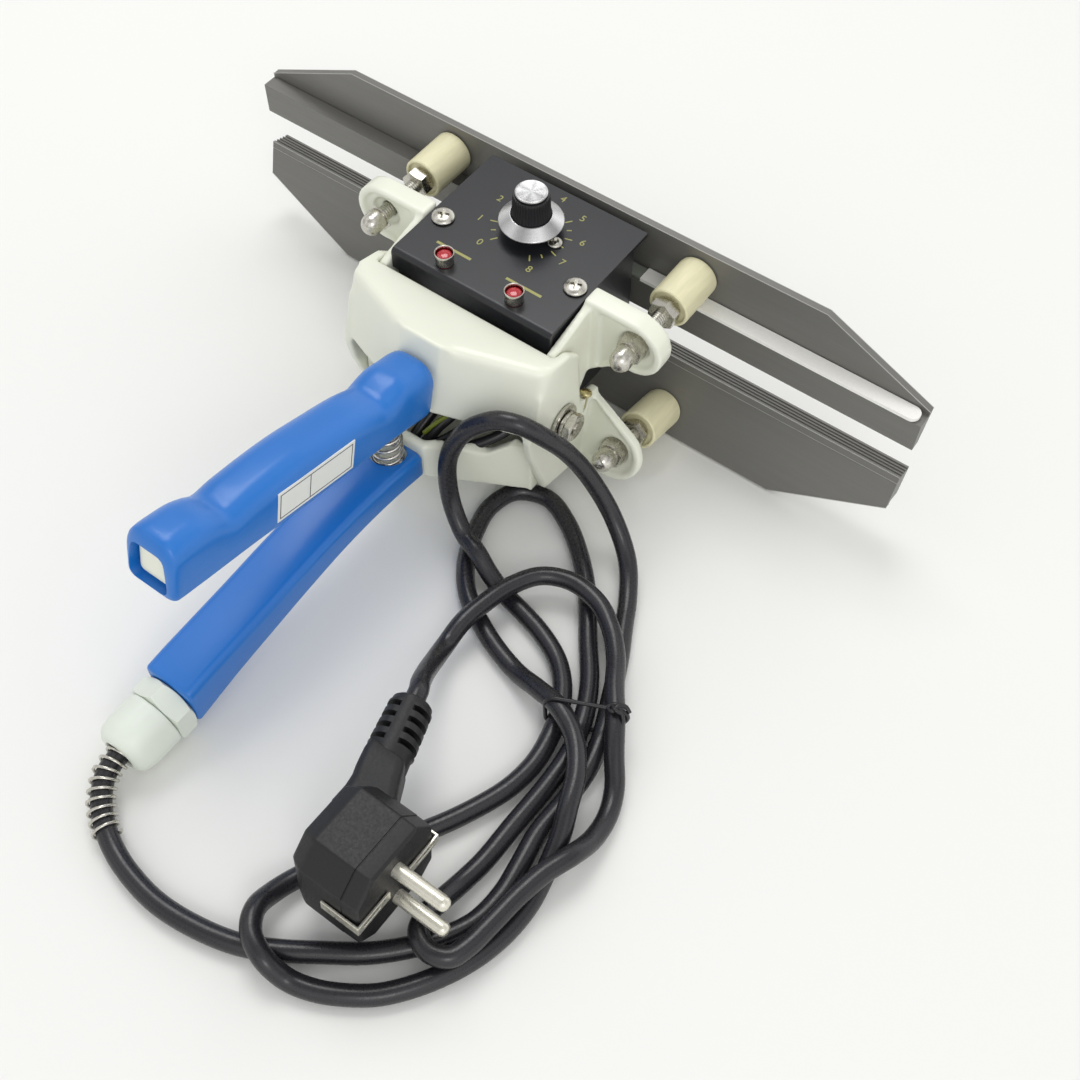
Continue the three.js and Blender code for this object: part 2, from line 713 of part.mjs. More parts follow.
// Cast arm with the lower grip, the control box and the upper jaw
function lowerHandleFrame() {
  const plan = [
    [-capeRearHalfWidth, capeRear], [capeRearHalfWidth, capeRear], [capeCornerX, capeCornerY],
    [cheekOuter, capeSideY], [cheekOuter, capeFront], [-cheekOuter, capeFront],
    [-cheekOuter, capeSideY], [-capeCornerX, capeCornerY],
  ];
  const side = [
    [capeRear, capeRimRear + overrun], [capeRear, capeRearFloor], [capeCornerY, capeFloor],
    [capeFloorFront, capeFloor], [capeFront, capeFrontToe], [capeFront, capeFrontTop],
    [capeSideY, capeFrontTop], [capeCornerY, capeRimRear + overrun],
  ];
  const hollow = [
    [capeRear + capeWall, capeRimRear + overrun + overrun], [capeRear + capeWall, capeRearFloor],
    [capeCornerY, capeFloor + capeWall], [capeFloorFront, capeFloor + capeWall],
    [capeFront - capeWall, capeFrontToe], [capeFront - capeWall, capeRimRear + overrun + overrun],
  ];
  const rim = mirrored([
    [0, capeFloor - overrun], [cheekOuter + overrun, capeFloor - overrun],
    [cheekOuter + overrun, capeRimSide], [capeLugX + capeWall, capeRimSide], [capeLugX, capeLug],
    [capeNotchX, capeNotch], [capeRimMidX, capeRimMid], [capeRearHalfWidth, capeRimRear],
    [0, capeRimRear],
  ]);
  const shell = cut(
    common(
      prismZ(plan, capeFloor, capeRimRear), prismX(side, -cheekOuter, cheekOuter),
      prismY(rim, capeRear, capeFront),
    ),
    common(
      prismZ(insetOutline(plan, capeWall), capeFloor, capeRimRear + overrun),
      prismX(hollow, -cheekOuter, cheekOuter),
    ),
  );
  const cheek = [
    [cheekTipY, cheekTipZ], [cheekNeckY, cheekNeckZ], [cheekBackY, 0], [capeCornerY, cheekChinZ],
    [capeCornerY, capeFloor], [capeFloorFront, capeFloor], [capeFront, capeFrontToe],
    [capeFront, cheekChinZ], [wingRear, jawPlane + wingRootGap], [wingFront, jawPlane + wingRootGap],
    [wingFront, jawPlane + studRise + lobeRadius],
  ];
  const cheeks = [1, -1].map((mark) => prismX(
    cheek, Math.min(mark * cheekInner, mark * cheekOuter), Math.max(mark * cheekInner, mark * cheekOuter)));
  const body = addWings(
    join(shell, ...cheeks, tang(lowerTangPath, lowerTangHalfWidth, lowerTangHalfHeight)), cheekInner, 1);
  return cut(
    body, springPocket('lower'),
    rodX(pivotHoleRadius, -wallOuter, wallOuter, 0, 0),
  );
}

// Cast arm with the upper grip and the lower jaw
function upperHandleFrame() {
  const frontRun = thinWingFront + overrun;
  const plan = [
    [-wallOuter, hubCornerY], [-hubRearHalfWidth, hubRear], [hubRearHalfWidth, hubRear],
    [wallOuter, hubCornerY], [wallOuter, frontRun], [-wallOuter, frontRun],
  ];
  const wall = [
    [hubCornerY, hubTop], [wallHeelY, 0], [wallElbowY, wallElbowZ],
    [wallToeY, jawPlane - studRise - lobeRadius], [thinWingFront, jawPlane - studRise - lobeRadius],
    [thinWingFront, jawPlane - wingRootGap], [wallCrookY, wallCrookZ], [wallFrontY, wallFrontZ],
    [wallBrowY, hubTop],
  ];
  const shell = common(
    cut(
      prismZ(plan, hubFloorLine, hubTop),
      prismZ(insetOutline(plan, wallThickness), hubFloorLine - overrun, hubTop - hubRoof),
    ),
    join(
      box(-wallOuter, wallOuter, hubRear, hubWallRear, hubFloorLine, hubTop),
      box(-wallOuter, wallOuter, hubRear, hubRoofFront, hubTop - hubRoof, hubTop),
    ),
  );
  const walls = [1, -1].map((mark) => prismX(
    wall, Math.min(mark * wallInner, mark * wallOuter), Math.max(mark * wallInner, mark * wallOuter)));
  const body = addWings(
    join(shell, ...walls, tang(upperTangPath, upperTangHalfWidth, upperTangHalfHeight)), wallInner, -1);
  return cut(
    body, springPocket('upper'),
    rodX(pivotHoleRadius, -wallOuter - overrun, wallOuter + overrun, 0, 0),
    rodZ(
      earthScrewRadius + clearance, -earthScrewLength - clearance, hubFloorLine + overrun,
      earthScrewX, earthScrewY, smallSides),
  );
}

function gripSleeve(arm) {
  const upper = arm === 'upper';
  const halfWidth = upper ? upperGripHalfWidth : lowerGripHalfWidth;
  const sections = upper ? upperGripSections : lowerGripSections;
  const corner = upper ? upperGripCorner : lowerGripCorner;
  const bore = upper
    ? sleeveBore(upperTangPath, upperTangHalfWidth, upperTangHalfHeight)
    : sleeveBore(lowerTangPath, lowerTangHalfWidth, lowerTangHalfHeight);
  const skin = loft(sections.map(({ y, bottom, top }) => section(y, halfWidth, bottom, top, corner)));
  return cut(skin, bore, springPocket(arm));
}

// Plates that carry the ledges: the upper jaw's is at the far side, and the lower jaw is turned round
const plates = {
  upper: { up: 1, near: jawFarFace - jawPlate, far: jawFarFace },
  lower: { up: -1, near: jawNearFace, far: lowerPlateFar },
};

// Depths of the ledge, from its open edge to its plate
function ledgeSpan(level) {
  const { near, far } = plates[level];
  return level === 'upper' ? { near: jawNearFace, far: near } : { near: far, far: jawFarFace };
}

// Jaw with a ledge for its heating strip
function jaw(level) {
  const { up, near, far } = plates[level];
  const place = (y, rise) => [y, jawPlane + up * rise];
  const outline = level === 'upper'
    ? [
      place(jawNearFace, 0), place(jawNearFace + jawToeDepth, 0),
      place(jawNearFace + jawHeelDepth, jawHeelHeight),
      place(far, jawFlareHeight), place(far, jawHeight), place(near, jawHeight), place(near, jawLedgeHeight),
      place(jawNearFace, jawLedgeHeight),
    ]
    : [
      place(near, 0), place(jawFarFace, 0), place(jawFarFace, jawLedgeHeight), place(far, jawLedgeHeight),
      place(far, jawHeight), place(near, jawHeight),
    ];
  const front = [
    [-jawHalfLength, jawPlane - up * overrun], [jawHalfLength, jawPlane - up * overrun],
    [jawHalfLength, jawPlane + up * jawFlareHeight],
    [jawHalfLength - jawBevel, jawPlane + up * jawHeight],
    [jawBevel - jawHalfLength, jawPlane + up * jawHeight],
    [-jawHalfLength, jawPlane + up * jawFlareHeight],
  ];
  const body = common(
    prismX(outline, -jawHalfLength, jawHalfLength),
    prismY(front, jawNearFace - overrun, jawFarFace + overrun),
  );
  const holes = [1, -1].map((side) => {
    const { x, z } = studPlace(side, up);
    return jawScrewShape(far, clearance).translate(x, 0, z);
  });
  const groove = (y0, y1, z0, z1) => box(-jawHalfLength - overrun, jawHalfLength + overrun, y0, y1, z0, z1);
  const grooves = [];
  if (level === 'lower') {
    const pitch = jawDepth / (jawGrooves + 1);
    for (let at = 1; at <= jawGrooves; at += 1) {
      const y = jawNearFace + at * pitch;
      grooves.push(groove(
        y - jawGrooveWidth * half, y + jawGrooveWidth * half, jawPlane - jawGrooveDepth, jawPlane + overrun));
    }
    const line = jawPlane - jawLine;
    grooves.push(groove(near - overrun, near + jawGrooveDepth * half, line - jawGrooveDepth * half, line));
  }
  return cut(body, ...holes, ...grooves);
}

// Flat strip heater with round ends, lying on the ledge of its jaw
function heatingStrip(level) {
  const { up } = plates[level];
  const ledge = ledgeSpan(level);
  const near = ledge.near + clearance;
  const far = ledge.far - clearance;
  const radius = (far - near) * half;
  const reach = jawHalfLength - stripEndGap - radius;
  const low = jawPlane + up * (jawLedgeHeight + clearance);
  const high = low + up * stripThickness;
  const outline = [];
  for (let step = 0; step <= smallSides; step += 1) {
    const end = step * 2 < smallSides ? 1 : -1;
    const angle = -Math.PI * half + (2 * Math.PI * step) / smallSides;
    outline.push([end * reach + radius * Math.cos(angle), (near + far) * half + radius * Math.sin(angle)]);
  }
  return prismZ(outline, Math.min(low, high), Math.max(low, high));
}

// Countersunk screw along Y with its head toward +Y; grown by a gap it is its own hole
function jawScrewShape(face, gap) {
  const shank = jawScrewRadius + gap;
  const top = gap > 0 ? face + overrun : face;
  const head = jawScrewHead + gap;
  return lathe([
    [0, face - jawScrewLength - gap], [shank, face - jawScrewLength - gap],
    [shank, face - jawScrewHeadDepth - gap], [head, face - gap], [head, top], [0, top],
  ], smallSides);
}

function insulator(near, far) {
  return cut(
    lathe([
      [0, near], [insulatorRadius - insulatorEdge, near], [insulatorRadius, near + insulatorEdge],
      [insulatorRadius, far - insulatorEdge], [insulatorRadius - insulatorEdge, far], [0, far],
    ]),
    rodY(studHoleRadius, near - overrun, far + overrun, 0, 0, smallSides),
    rodY(insulatorCupRadius, near - overrun, near + insulatorCupDepth, 0, 0),
  );
}

function acornNut(seat) {
  const hexEnd = seat - acornHexLength;
  const end = seat - acornLength;
  const dome = [[0, end]];
  const straight = end + acornDomeRadius;
  for (let step = 1; step <= 4; step += 1) {
    const angle = (step / 4) * Math.PI * half;
    dome.push([acornDomeRadius * Math.sin(angle), straight - acornDomeRadius * Math.cos(angle)]);
  }
  dome.push([acornDomeRadius, hexEnd + overrun], [0, hexEnd + overrun]);
  return cut(
    join(lathe(dome, smallSides), rodY(hexRadius(acornFlats), hexEnd, seat, 0, 0, 6)),
    rodY(studHoleRadius, end + acornWall + acornDomeRadius * half, seat + overrun, 0, 0, smallSides),
  );
}

function lockNut(far) {
  return cut(
    rodY(hexRadius(lockNutFlats), far - lockNutLength, far, 0, 0, 6),
    rodY(studHoleRadius, far - lockNutLength - overrun, far + overrun, 0, 0, smallSides),
  );
}

function addJawMounting(arm, level) {
  const { up, near, far } = plates[level];
  const insulatorFar = near - clearance;
  const insulatorNear = insulatorFar - insulatorLength;
  const screwTip = far - jawScrewLength;
  const seat = acornSeat(up);
  [['right', 1], ['left', -1]].forEach(([sideName, side]) => {
    const { x, z } = studPlace(side, up);
    const stud = rodY(studRadius, seat - studEngage, screwTip - overrun, 0, 0, smallSides);
    const pieces = [
      mesh(`${level}_${sideName}_stud`, stud, 'zinc'),
      mesh(`${level}_${sideName}_insulator`, insulator(insulatorNear, insulatorFar), 'ceramic'),
      mesh(`${level}_${sideName}_acorn_nut`, acornNut(seat), 'steel'),
      mesh(`${level}_${sideName}_lock_nut`, lockNut(insulatorNear + insulatorCupDepth - clearance), 'steel'),
      mesh(`${level}_${sideName}_jaw_screw`, jawScrewShape(far, 0), 'zinc'),
    ];
    pieces.forEach((piece) => {
      piece.position.set(x, 0, z);
      arm.add(piece);
    });
  });
}

// Hinge bolt with its washer and nut, drawn for the right side and turned for the left one
function addHingeBolts(arm) {
  const washerStart = wallOuter + clearance;
  const nutStart = washerStart + pivotWasherThickness + clearance;
  const nutEnd = nutStart + pivotNutThickness;
  const headEnd = cheekInner - clearance;
  [['right', 0], ['left', Math.PI]].forEach(([sideName, turn]) => {
    const bolt = join(
      rodX(pivotHeadRadius, headEnd - pivotHeadThickness, headEnd, 0, 0),
      rodX(pivotRadius, headEnd - pivotHeadThickness, nutEnd + pivotBoltProud, 0, 0, smallSides),
    );
    const washer = cut(
      rodX(pivotWasherRadius, washerStart, washerStart + pivotWasherThickness, 0, 0),
      rodX(pivotHoleRadius, washerStart - overrun, nutStart + overrun, 0, 0, smallSides),
    );
    const nut = cut(
      rodX(hexRadius(pivotNutFlats), nutStart, nutEnd, 0, 0, 6),
      rodX(pivotHoleRadius, nutStart - overrun, nutEnd + overrun, 0, 0, smallSides),
    );
    [['bolt', bolt], ['washer', washer], ['nut', nut]].forEach(([kind, geometry]) => {
      const piece = mesh(`${sideName}_hinge_${kind}`, geometry, 'steel');
      piece.rotation.z = turn;
      arm.add(piece);
    });
  });
}

function controlBox() {
  return cut(
    box(-boxHalfWidth, boxHalfWidth, boxRear, boxFront, boxFloor, boxTop),
    box(
      boxSheet - boxHalfWidth, boxHalfWidth - boxSheet, boxRear + boxSheet, boxFront - boxSheet,
      boxFloor + boxSheet, boxTop + overrun),
  );
}

const coverScrewPlaces = [[coverScrewX, coverScrewY], [-coverScrewX, coverScrewY]];

function controlBoxCover() {
  const under = coverTop - coverSheet;
  const sheet = [
    [coverRear, coverTop - coverFold], [coverRear + coverSheet, coverTop - coverFold],
    [coverRear + coverSheet, under], [coverFront, under], [coverFront, coverTop],
    [coverRear + coverSheet * half, coverTop], [coverRear, coverTop - coverSheet * half],
  ];
  const through = (radius, x, y) => rodZ(radius, under - overrun, coverTop + overrun, x, y, smallSides);
  return cut(
    prismX(sheet, -coverHalfWidth, coverHalfWidth),
    through(bushRadius + clearance, 0, knobY),
    ...[1, -1].map((side) => through(lensRadius + clearance, side * lampX, lampY)),
    ...coverScrewPlaces.map(([x, y]) => through(coverScrewRadius + clearance, x, y)),
    through(dialScrewRadius + clearance, dialScrewX, dialScrewY),
  );
}

// Screw that sits on the cover
function panelScrew(head, headHeight, radius, length) {
  const seat = coverTop + clearance;
  return join(
    rodZ(head, seat, seat + headHeight, 0, 0, smallSides),
    rodZ(radius, seat - length, seat + headHeight * half, 0, 0, smallSides),
  );
}

function addControls(arm) {
  arm.add(mesh('control_box', controlBox(), 'panel'));
  arm.add(mesh('control_box_cover', controlBoxCover(), 'panel'));
  coverScrewPlaces.forEach(([x, y]) => {
    const screw = mesh(
      x > 0 ? 'right_cover_screw' : 'left_cover_screw',
      panelScrew(coverScrewHead, coverScrewHeadHeight, coverScrewRadius, coverScrewLength), 'steel');
    screw.position.set(x, y, 0);
    arm.add(screw);
  });
  const dialScrew = mesh(
    'dial_screw', panelScrew(dialScrewHead, dialScrewHeadHeight, dialScrewRadius, dialScrewLength), 'zinc');
  dialScrew.position.set(dialScrewX, dialScrewY, 0);
  arm.add(dialScrew);
  [['right', 1], ['left', -1]].forEach(([sideName, side]) => {
    const seat = coverTop + clearance;
    const bezel = mesh(`${sideName}_lamp_bezel`, cut(
      rodZ(bezelRadius, seat, seat + bezelHeight, 0, 0),
      rodZ(lensRadius + clearance, seat - overrun, seat + bezelHeight + overrun, 0, 0),
    ), 'steel');
    const lens = mesh(
      `${sideName}_lamp`, rodZ(lensRadius, coverTop - coverSheet, coverTop + lensRise, 0, 0), 'lens');
    [bezel, lens].forEach((piece) => {
      piece.position.set(side * lampX, lampY, 0);
      arm.add(piece);
    });
  });
  arm.add(mesh('circuit_board', circuitBoard(), 'board'));
  arm.add(mesh('potentiometer', potentiometer(), 'zinc'));
}

function circuitBoard() {
  const under = boxFloor + boxSheet + boardRise;
  const top = under + boardThickness;
  const foot = boxFloor + boxSheet + clearance;
  const posts = [boardRear + postInset, boardFront - postInset].flatMap((y) => [1, -1].map(
    (side) => rodZ(postRadius, foot, under + overrun, side * (boardHalfWidth - postInset), y, smallSides)));
  const blocks = [1, -1].map((side) => box(
    side * blockX - blockHalfWidth, side * blockX + blockHalfWidth,
    blockY - blockHalfDepth, blockY + blockHalfDepth, under, top + blockHeight));
  return join(
    box(-boardHalfWidth, boardHalfWidth, boardRear, boardFront, under, top), ...posts, ...blocks);
}

function potentiometer() {
  const under = coverTop - coverSheet - clearance;
  return join(
    rodZ(potRadius, under - potDepth, under, 0, knobY),
    rodZ(bushRadius, under - overrun, coverTop + bushRise, 0, knobY, smallSides),
    rodZ(shaftRadius, coverTop, coverTop + knobGap + knobBoreDepth - clearance, 0, knobY, smallSides),
  );
}

// Knob pieces, held above the panel by the shaft
function knobPieces() {
  const base = coverTop + knobGap;
  const body = cut(
    lathe([
      [0, base], [knobRadius, base], [knobRadius, base + skirtHeight], [knobTopRadius, base + knobHeight],
      [0, base + knobHeight],
    ]).rotateX(Math.PI * half),
    rodZ(shaftRadius + clearance, base - overrun, base + knobBoreDepth, 0, 0, smallSides),
  );
  const bore = knobRadius + clearance;
  const skirt = lathe([
    [bore, base], [skirtRadius, base], [skirtRadius, base + skirtRim], [skirtTopRadius, base + skirtHeight],
    [bore, base + skirtHeight], [bore, base],
  ]).rotateX(Math.PI * half);
  const capStart = base + knobHeight + clearance;
  const cap = rodZ(knobCapRadius, capStart, capStart + knobCapHeight, 0, 0);
  return [
    mesh('knob_body', body, 'black'),
    mesh('knob_skirt', skirt, 'aluminium'),
    mesh('knob_cap', cap, 'aluminium'),
  ];
}

// Height of the wall's top edge under the earth screw's head
function earthScrewSeat() {
  const front = jawPlane - wingRootGap;
  const ahead = Math.min(earthScrewY + earthScrewHead, thinWingFront);
  return wallCrookZ + ((front - wallCrookZ) * (ahead - wallCrookY)) / (thinWingFront - wallCrookY);
}

const earthScrewX = (wallInner + wallOuter) * half + earthScrewSide;

function earthScrew() {
  const seat = earthScrewSeat() + clearance;
  return join(
    rodZ(earthScrewHead, seat, seat + earthScrewHeadHeight, earthScrewX, earthScrewY, smallSides),
    rodZ(earthScrewRadius, seat - earthScrewLength, seat + overrun, earthScrewX, earthScrewY, smallSides),
  );
}

// Coil spring between the arms, straight for one wire diameter at each end
function handleSpring() {
  const { foot, head } = springAxis('lower');
  const axis = head.clone().sub(foot);
  const height = axis.length() - 2 * (clearance + springWire);
  const turn = new THREE.Quaternion().setFromUnitVectors(
    new THREE.Vector3(0, 0, 1), axis.clone().normalize());
  const start = foot.clone().addScaledVector(axis.clone().normalize(), clearance + springWire);
  const points = [];
  const steps = springTurns * springCurlSteps;
  for (let step = 0; step <= steps; step += 1) {
    const angle = (2 * Math.PI * step) / springCurlSteps;
    points.push(new THREE.Vector3(
      springRadius * Math.cos(angle), springRadius * Math.sin(angle), (height * step) / steps));
  }
  const straight = 2 * springWire;
  points.unshift(points[0].clone().add(new THREE.Vector3(0, -straight, 0)));
  points.push(points[points.length - 1].clone().add(new THREE.Vector3(0, straight, 0)));
  points.forEach((point) => point.applyQuaternion(turn).add(start));
  console.log('handle_spring least gap', leastGap(points, springWire, Math.PI * springRadius).toFixed(2));
  return wire(points, springWire, springSides);
}

// Cable gland, a hexagon body with a domed nut
function glandBody() {
  const spigotEnd = glandRear - glandHexLength - glandSpigotLength;
  return cut(
    join(
      rodY(hexRadius(glandFlats), glandRear - glandHexLength, glandRear, 0, glandZ, 6),
      rodY(glandSpigotRadius, spigotEnd, glandRear - overrun, 0, glandZ),
    ),
    rodY(glandBoreRadius, spigotEnd - overrun, glandRear + overrun, 0, glandZ, smallSides),
  );
}

function glandNut() {
  const front = glandRear - glandHexLength - clearance;
  const dome = [[0, glandEnd], [glandMouthRadius, glandEnd]];
  for (let step = 1; step <= 4; step += 1) {
    const angle = (step / 4) * Math.PI * half;
    const reach = (glandNutRadius - glandMouthRadius) * Math.sin(angle);
    dome.push([glandMouthRadius + reach, glandShoulder - glandDomeLength * Math.cos(angle)]);
  }
  dome.push([glandNutRadius, front], [0, front]);
  const pocketEnd = glandRear - glandHexLength - glandSpigotLength - clearance;
  return cut(
    lathe(dome).translate(0, 0, glandZ),
    rodY(glandSpigotRadius + clearance, pocketEnd, front + overrun, 0, glandZ),
    rodY(glandBoreRadius, glandEnd - overrun, front + overrun, 0, glandZ, smallSides),
    rodY(reliefBoreRadius, glandEnd - overrun, glandEnd + reliefBoreDepth, 0, glandZ, smallSides),
  );
}

// Cord and its pieces, placed on the table; the cord's first stretch follows the gland
function onTable(y, z) {
  return new THREE.Vector3(
    0, hingeY + y * Math.cos(lowerArmTilt) - z * Math.sin(lowerArmTilt),
    hingeZ + y * Math.sin(lowerArmTilt) + z * Math.cos(lowerArmTilt));
}

const cordShift = onTable(glandRear - cordSeat, glandZ).sub(new THREE.Vector3(...cordRoute[0]));
const cordPoints = cordRoute.map((point, at) => new THREE.Vector3(...point)
  .addScaledVector(cordShift, Math.max(0, 1 - at / cordFollows)));
const cordCurve = new THREE.CatmullRomCurve3(cordPoints);
cordCurve.arcLengthDivisions = cordRoute.length * smallSides;

function powerCord() {
  const points = cordCurve.getSpacedPoints(cordRoute.length * 4);
  console.log('power_cord length', cordCurve.getLength().toFixed(0));
  console.log('power_cord least gap', leastGap(points, cordRadius, 4 * cordRadius).toFixed(2));
  const outline = new THREE.Shape();
  outline.absarc(0, 0, cordRadius, 0, 2 * Math.PI);
  return new THREE.ExtrudeGeometry(outline, {
    steps: cordSteps, curveSegments: cordSides * half, bevelEnabled: false, extrudePath: cordCurve,
  });
}

// Spring round the cord where it leaves the gland
function strainReliefSpring() {
  const length = cordCurve.getLength();
  const coilStart = onTable(glandEnd + reliefBoreDepth - reliefWire - clearance, glandZ);
  const startRun = cordPoints[0].y - coilStart.y;
  const coilRun = reliefTurns * reliefPitch;
  const points = [];
  const steps = reliefTurns * springCurlSteps;
  let across = new THREE.Vector3(1, 0, 0);
  for (let step = 0; step <= steps; step += 1) {
    const share = (startRun + (coilRun * step) / steps) / length;
    const along = cordCurve.getTangentAt(share);
    across = across.clone().addScaledVector(along, -across.dot(along)).normalize();
    const up = along.clone().cross(across);
    const angle = (2 * Math.PI * step) / springCurlSteps;
    points.push(cordCurve.getPointAt(share)
      .addScaledVector(across, reliefRadius * Math.cos(angle))
      .addScaledVector(up, reliefRadius * Math.sin(angle)));
  }
  const gap = leastGap(points, reliefWire, Math.PI * reliefRadius);
  console.log('strain_relief_spring least gap', gap.toFixed(2));
  return wire(points, reliefWire, springSides);
}

function cordTie() {
  const ring = (grow) => {
    const [from, to] = [tieFrom + tieSheet - grow, tieTo - tieSheet + grow];
    const [low, high] = [tieLow + tieSheet - grow, tieHigh - tieSheet + grow];
    const corner = tieCorner - tieSheet + grow;
    const shape = new THREE.Shape();
    shape.absarc(to - corner, high - corner, corner, 0, Math.PI * half);
    shape.absarc(from + corner, high - corner, corner, Math.PI * half, Math.PI);
    shape.absarc(from + corner, low + corner, corner, Math.PI, Math.PI * (1 + half));
    shape.absarc(to - corner, low + corner, corner, -Math.PI * half, 0);
    return shape.getPoints(4).map((point) => [point.x, point.y]);
  };
  const band = cut(
    prismY(ring(tieSheet), -tieWidth * half, tieWidth * half),
    prismY(ring(0), -tieWidth, tieWidth),
  );
  const knotStart = tieTo - tieSheet * half;
  const knot = rodX(tieKnotRadius, knotStart, tieTo + tieKnotLength, 0, tieHigh * half, smallSides);
  return join(band, knot);
}

function plugRing(x, share) {
  const [w, h, c] = [plugHalfWidth * share, plugHalfHeight * share, plugChamfer * share];
  return [[w, -h + c], [w, h - c], [w - c, h], [c - w, h], [-w, h - c], [-w, c - h], [c - w, -h], [w - c, -h]]
    .map(([y, z]) => new THREE.Vector3(x, y, z));
}

function plugBody() {
  const shell = loft([plugRing(-plugDepth, plugBackShare), plugRing(-plugShoulder, 1), plugRing(0, 1)]);
  const { x, near, far, halfWidth, halfHeight } = plugNeck;
  const neck = loft([near, far].map((y) => section(y, halfWidth, -halfHeight, halfHeight, tangCorner)))
    .translate(x, 0, 0);
  const { fromX, fromY, toX, toY, wide, narrow, ribs, ribDepth } = plugTail;
  const length = Math.hypot(toX - fromX, toY - fromY);
  const profile = [[0, 0], [wide, 0]];
  const ribStart = length * half;
  const pitch = (length - ribStart) / (ribs + half);
  for (let rib = 0; rib < ribs; rib += 1) {
    const y = ribStart + rib * pitch;
    const radius = wide + ((narrow - wide) * (y - ribStart)) / (length - ribStart);
    const [root, end] = [radius - ribDepth, y + pitch * half];
    profile.push([radius, y], [root, y], [root, end], [radius, end]);
  }
  profile.push([narrow, length], [0, length]);
  const tail = lathe(profile, smallSides)
    .rotateZ(Math.atan2(fromX - toX, toY - fromY))
    .translate(fromX, fromY, 0);
  const sockets = [1, -1].map((side) => rodX(
    pinRadius + clearance, -pinSocket - clearance, overrun, 0, side * pinSpacing * half, smallSides));
  return cut(join(shell, neck, tail), ...sockets);
}

function earthClip() {
  const outer = plugHalfWidth + clearance + clipSheet;
  return join(
    box(clearance, clearance + clipSheet, clipStart, outer, -clipWidth * half, clipWidth * half),
    box(-clipWrap, clearance + clipSheet, outer - clipSheet, outer, -clipWidth * half, clipWidth * half),
  );
}

function addPlug(parent) {
  const plug = new THREE.Group();
  plug.position.set(plugPlace.x, plugPlace.y, plugPlace.z);
  plug.add(mesh('plug_body', plugBody(), 'black'));
  [['upper', 1], ['lower', -1]].forEach(([level, side]) => {
    const pin = rodX(pinRadius, -pinSocket, pinLength, 0, side * pinSpacing * half, smallSides);
    plug.add(mesh(`plug_${level}_pin`, pin, 'steel'));
  });
  [['near', Math.PI], ['far', 0]].forEach(([sideName, turn]) => {
    const clip = mesh(`plug_${sideName}_earth_clip`, earthClip(), 'steel');
    clip.rotation.x = turn;
    plug.add(clip);
  });
  parent.add(plug);
}

// The whole sealer
const sealer = new THREE.Group();
const lowerArm = new THREE.Group();
const upperArm = new THREE.Group();
[[lowerArm, lowerArmTilt], [upperArm, -upperArmTilt]].forEach(([arm, tilt]) => {
  arm.position.set(0, hingeY, hingeZ);
  arm.rotation.x = tilt;
  sealer.add(arm);
});

lowerArm.add(mesh('lower_handle_frame', lowerHandleFrame(), 'casting'));
lowerArm.add(mesh('lower_grip_sleeve', gripSleeve('lower'), 'grip'));
lowerArm.add(mesh('upper_jaw', jaw('upper'), 'jaw'));
lowerArm.add(mesh('upper_heating_strip', heatingStrip('upper'), 'zinc'));
addJawMounting(lowerArm, 'upper');
addControls(lowerArm);
addHingeBolts(lowerArm);
lowerArm.add(mesh('handle_spring', handleSpring(), 'zinc'));
lowerArm.add(mesh('gland_body', glandBody(), 'gland'));
lowerArm.add(mesh('gland_nut', glandNut(), 'gland'));
knobPieces().forEach((piece) => {
  piece.position.y = knobY;
  lowerArm.add(piece);
});

upperArm.add(mesh('upper_handle_frame', upperHandleFrame(), 'casting'));
upperArm.add(mesh('upper_grip_sleeve', gripSleeve('upper'), 'grip'));
upperArm.add(mesh('lower_jaw', jaw('lower'), 'jaw'));
upperArm.add(mesh('lower_heating_strip', heatingStrip('lower'), 'zinc'));
addJawMounting(upperArm, 'lower');
upperArm.add(mesh('earth_screw', earthScrew(), 'brass'));

sealer.add(mesh('power_cord', powerCord(), 'cord'));
sealer.add(mesh('strain_relief_spring', strainReliefSpring(), 'steel'));
const tie = mesh('cord_tie', cordTie(), 'black');
tie.position.set(tiePlace.x, tiePlace.y, 0);
tie.rotation.z = tieTurn;
sealer.add(tie);
addPlug(sealer);

export default sealer;
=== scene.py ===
# Looks of the handheld heat sealer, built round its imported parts. Shapes are drawn in millimetres in the
# frame of their arm and placed in metres; +Z up, jaws toward +Y.
import json
from math import atan2, cos, pi, radians, sin, sqrt, tan

import bmesh
import bpy
from mathutils import Matrix, Vector, geometry


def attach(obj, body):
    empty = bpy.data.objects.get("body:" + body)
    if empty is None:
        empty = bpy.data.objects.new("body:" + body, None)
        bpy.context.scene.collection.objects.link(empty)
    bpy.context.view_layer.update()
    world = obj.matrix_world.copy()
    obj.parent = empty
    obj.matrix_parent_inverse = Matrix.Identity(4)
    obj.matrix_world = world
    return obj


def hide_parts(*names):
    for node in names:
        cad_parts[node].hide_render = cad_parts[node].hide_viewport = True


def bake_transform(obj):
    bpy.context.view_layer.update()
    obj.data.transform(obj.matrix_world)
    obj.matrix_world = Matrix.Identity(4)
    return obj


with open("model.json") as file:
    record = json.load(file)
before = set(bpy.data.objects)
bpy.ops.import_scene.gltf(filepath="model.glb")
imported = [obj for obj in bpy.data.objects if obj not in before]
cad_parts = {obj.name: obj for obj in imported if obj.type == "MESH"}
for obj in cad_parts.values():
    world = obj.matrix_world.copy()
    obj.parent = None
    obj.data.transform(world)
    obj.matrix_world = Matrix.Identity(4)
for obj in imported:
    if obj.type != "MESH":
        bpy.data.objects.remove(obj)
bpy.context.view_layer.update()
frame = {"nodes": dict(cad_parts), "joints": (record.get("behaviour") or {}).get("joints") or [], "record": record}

# Shared values
MM = 0.001
HALF = 0.5
ROUND = 48
FINE = 24
JOINT = next(j for j in frame["joints"] if j["name"] == "jaw_hinge")
HINGE = Matrix.Translation(Vector(JOINT["pos_m"]))
LOWER_TILT = radians(5.39)
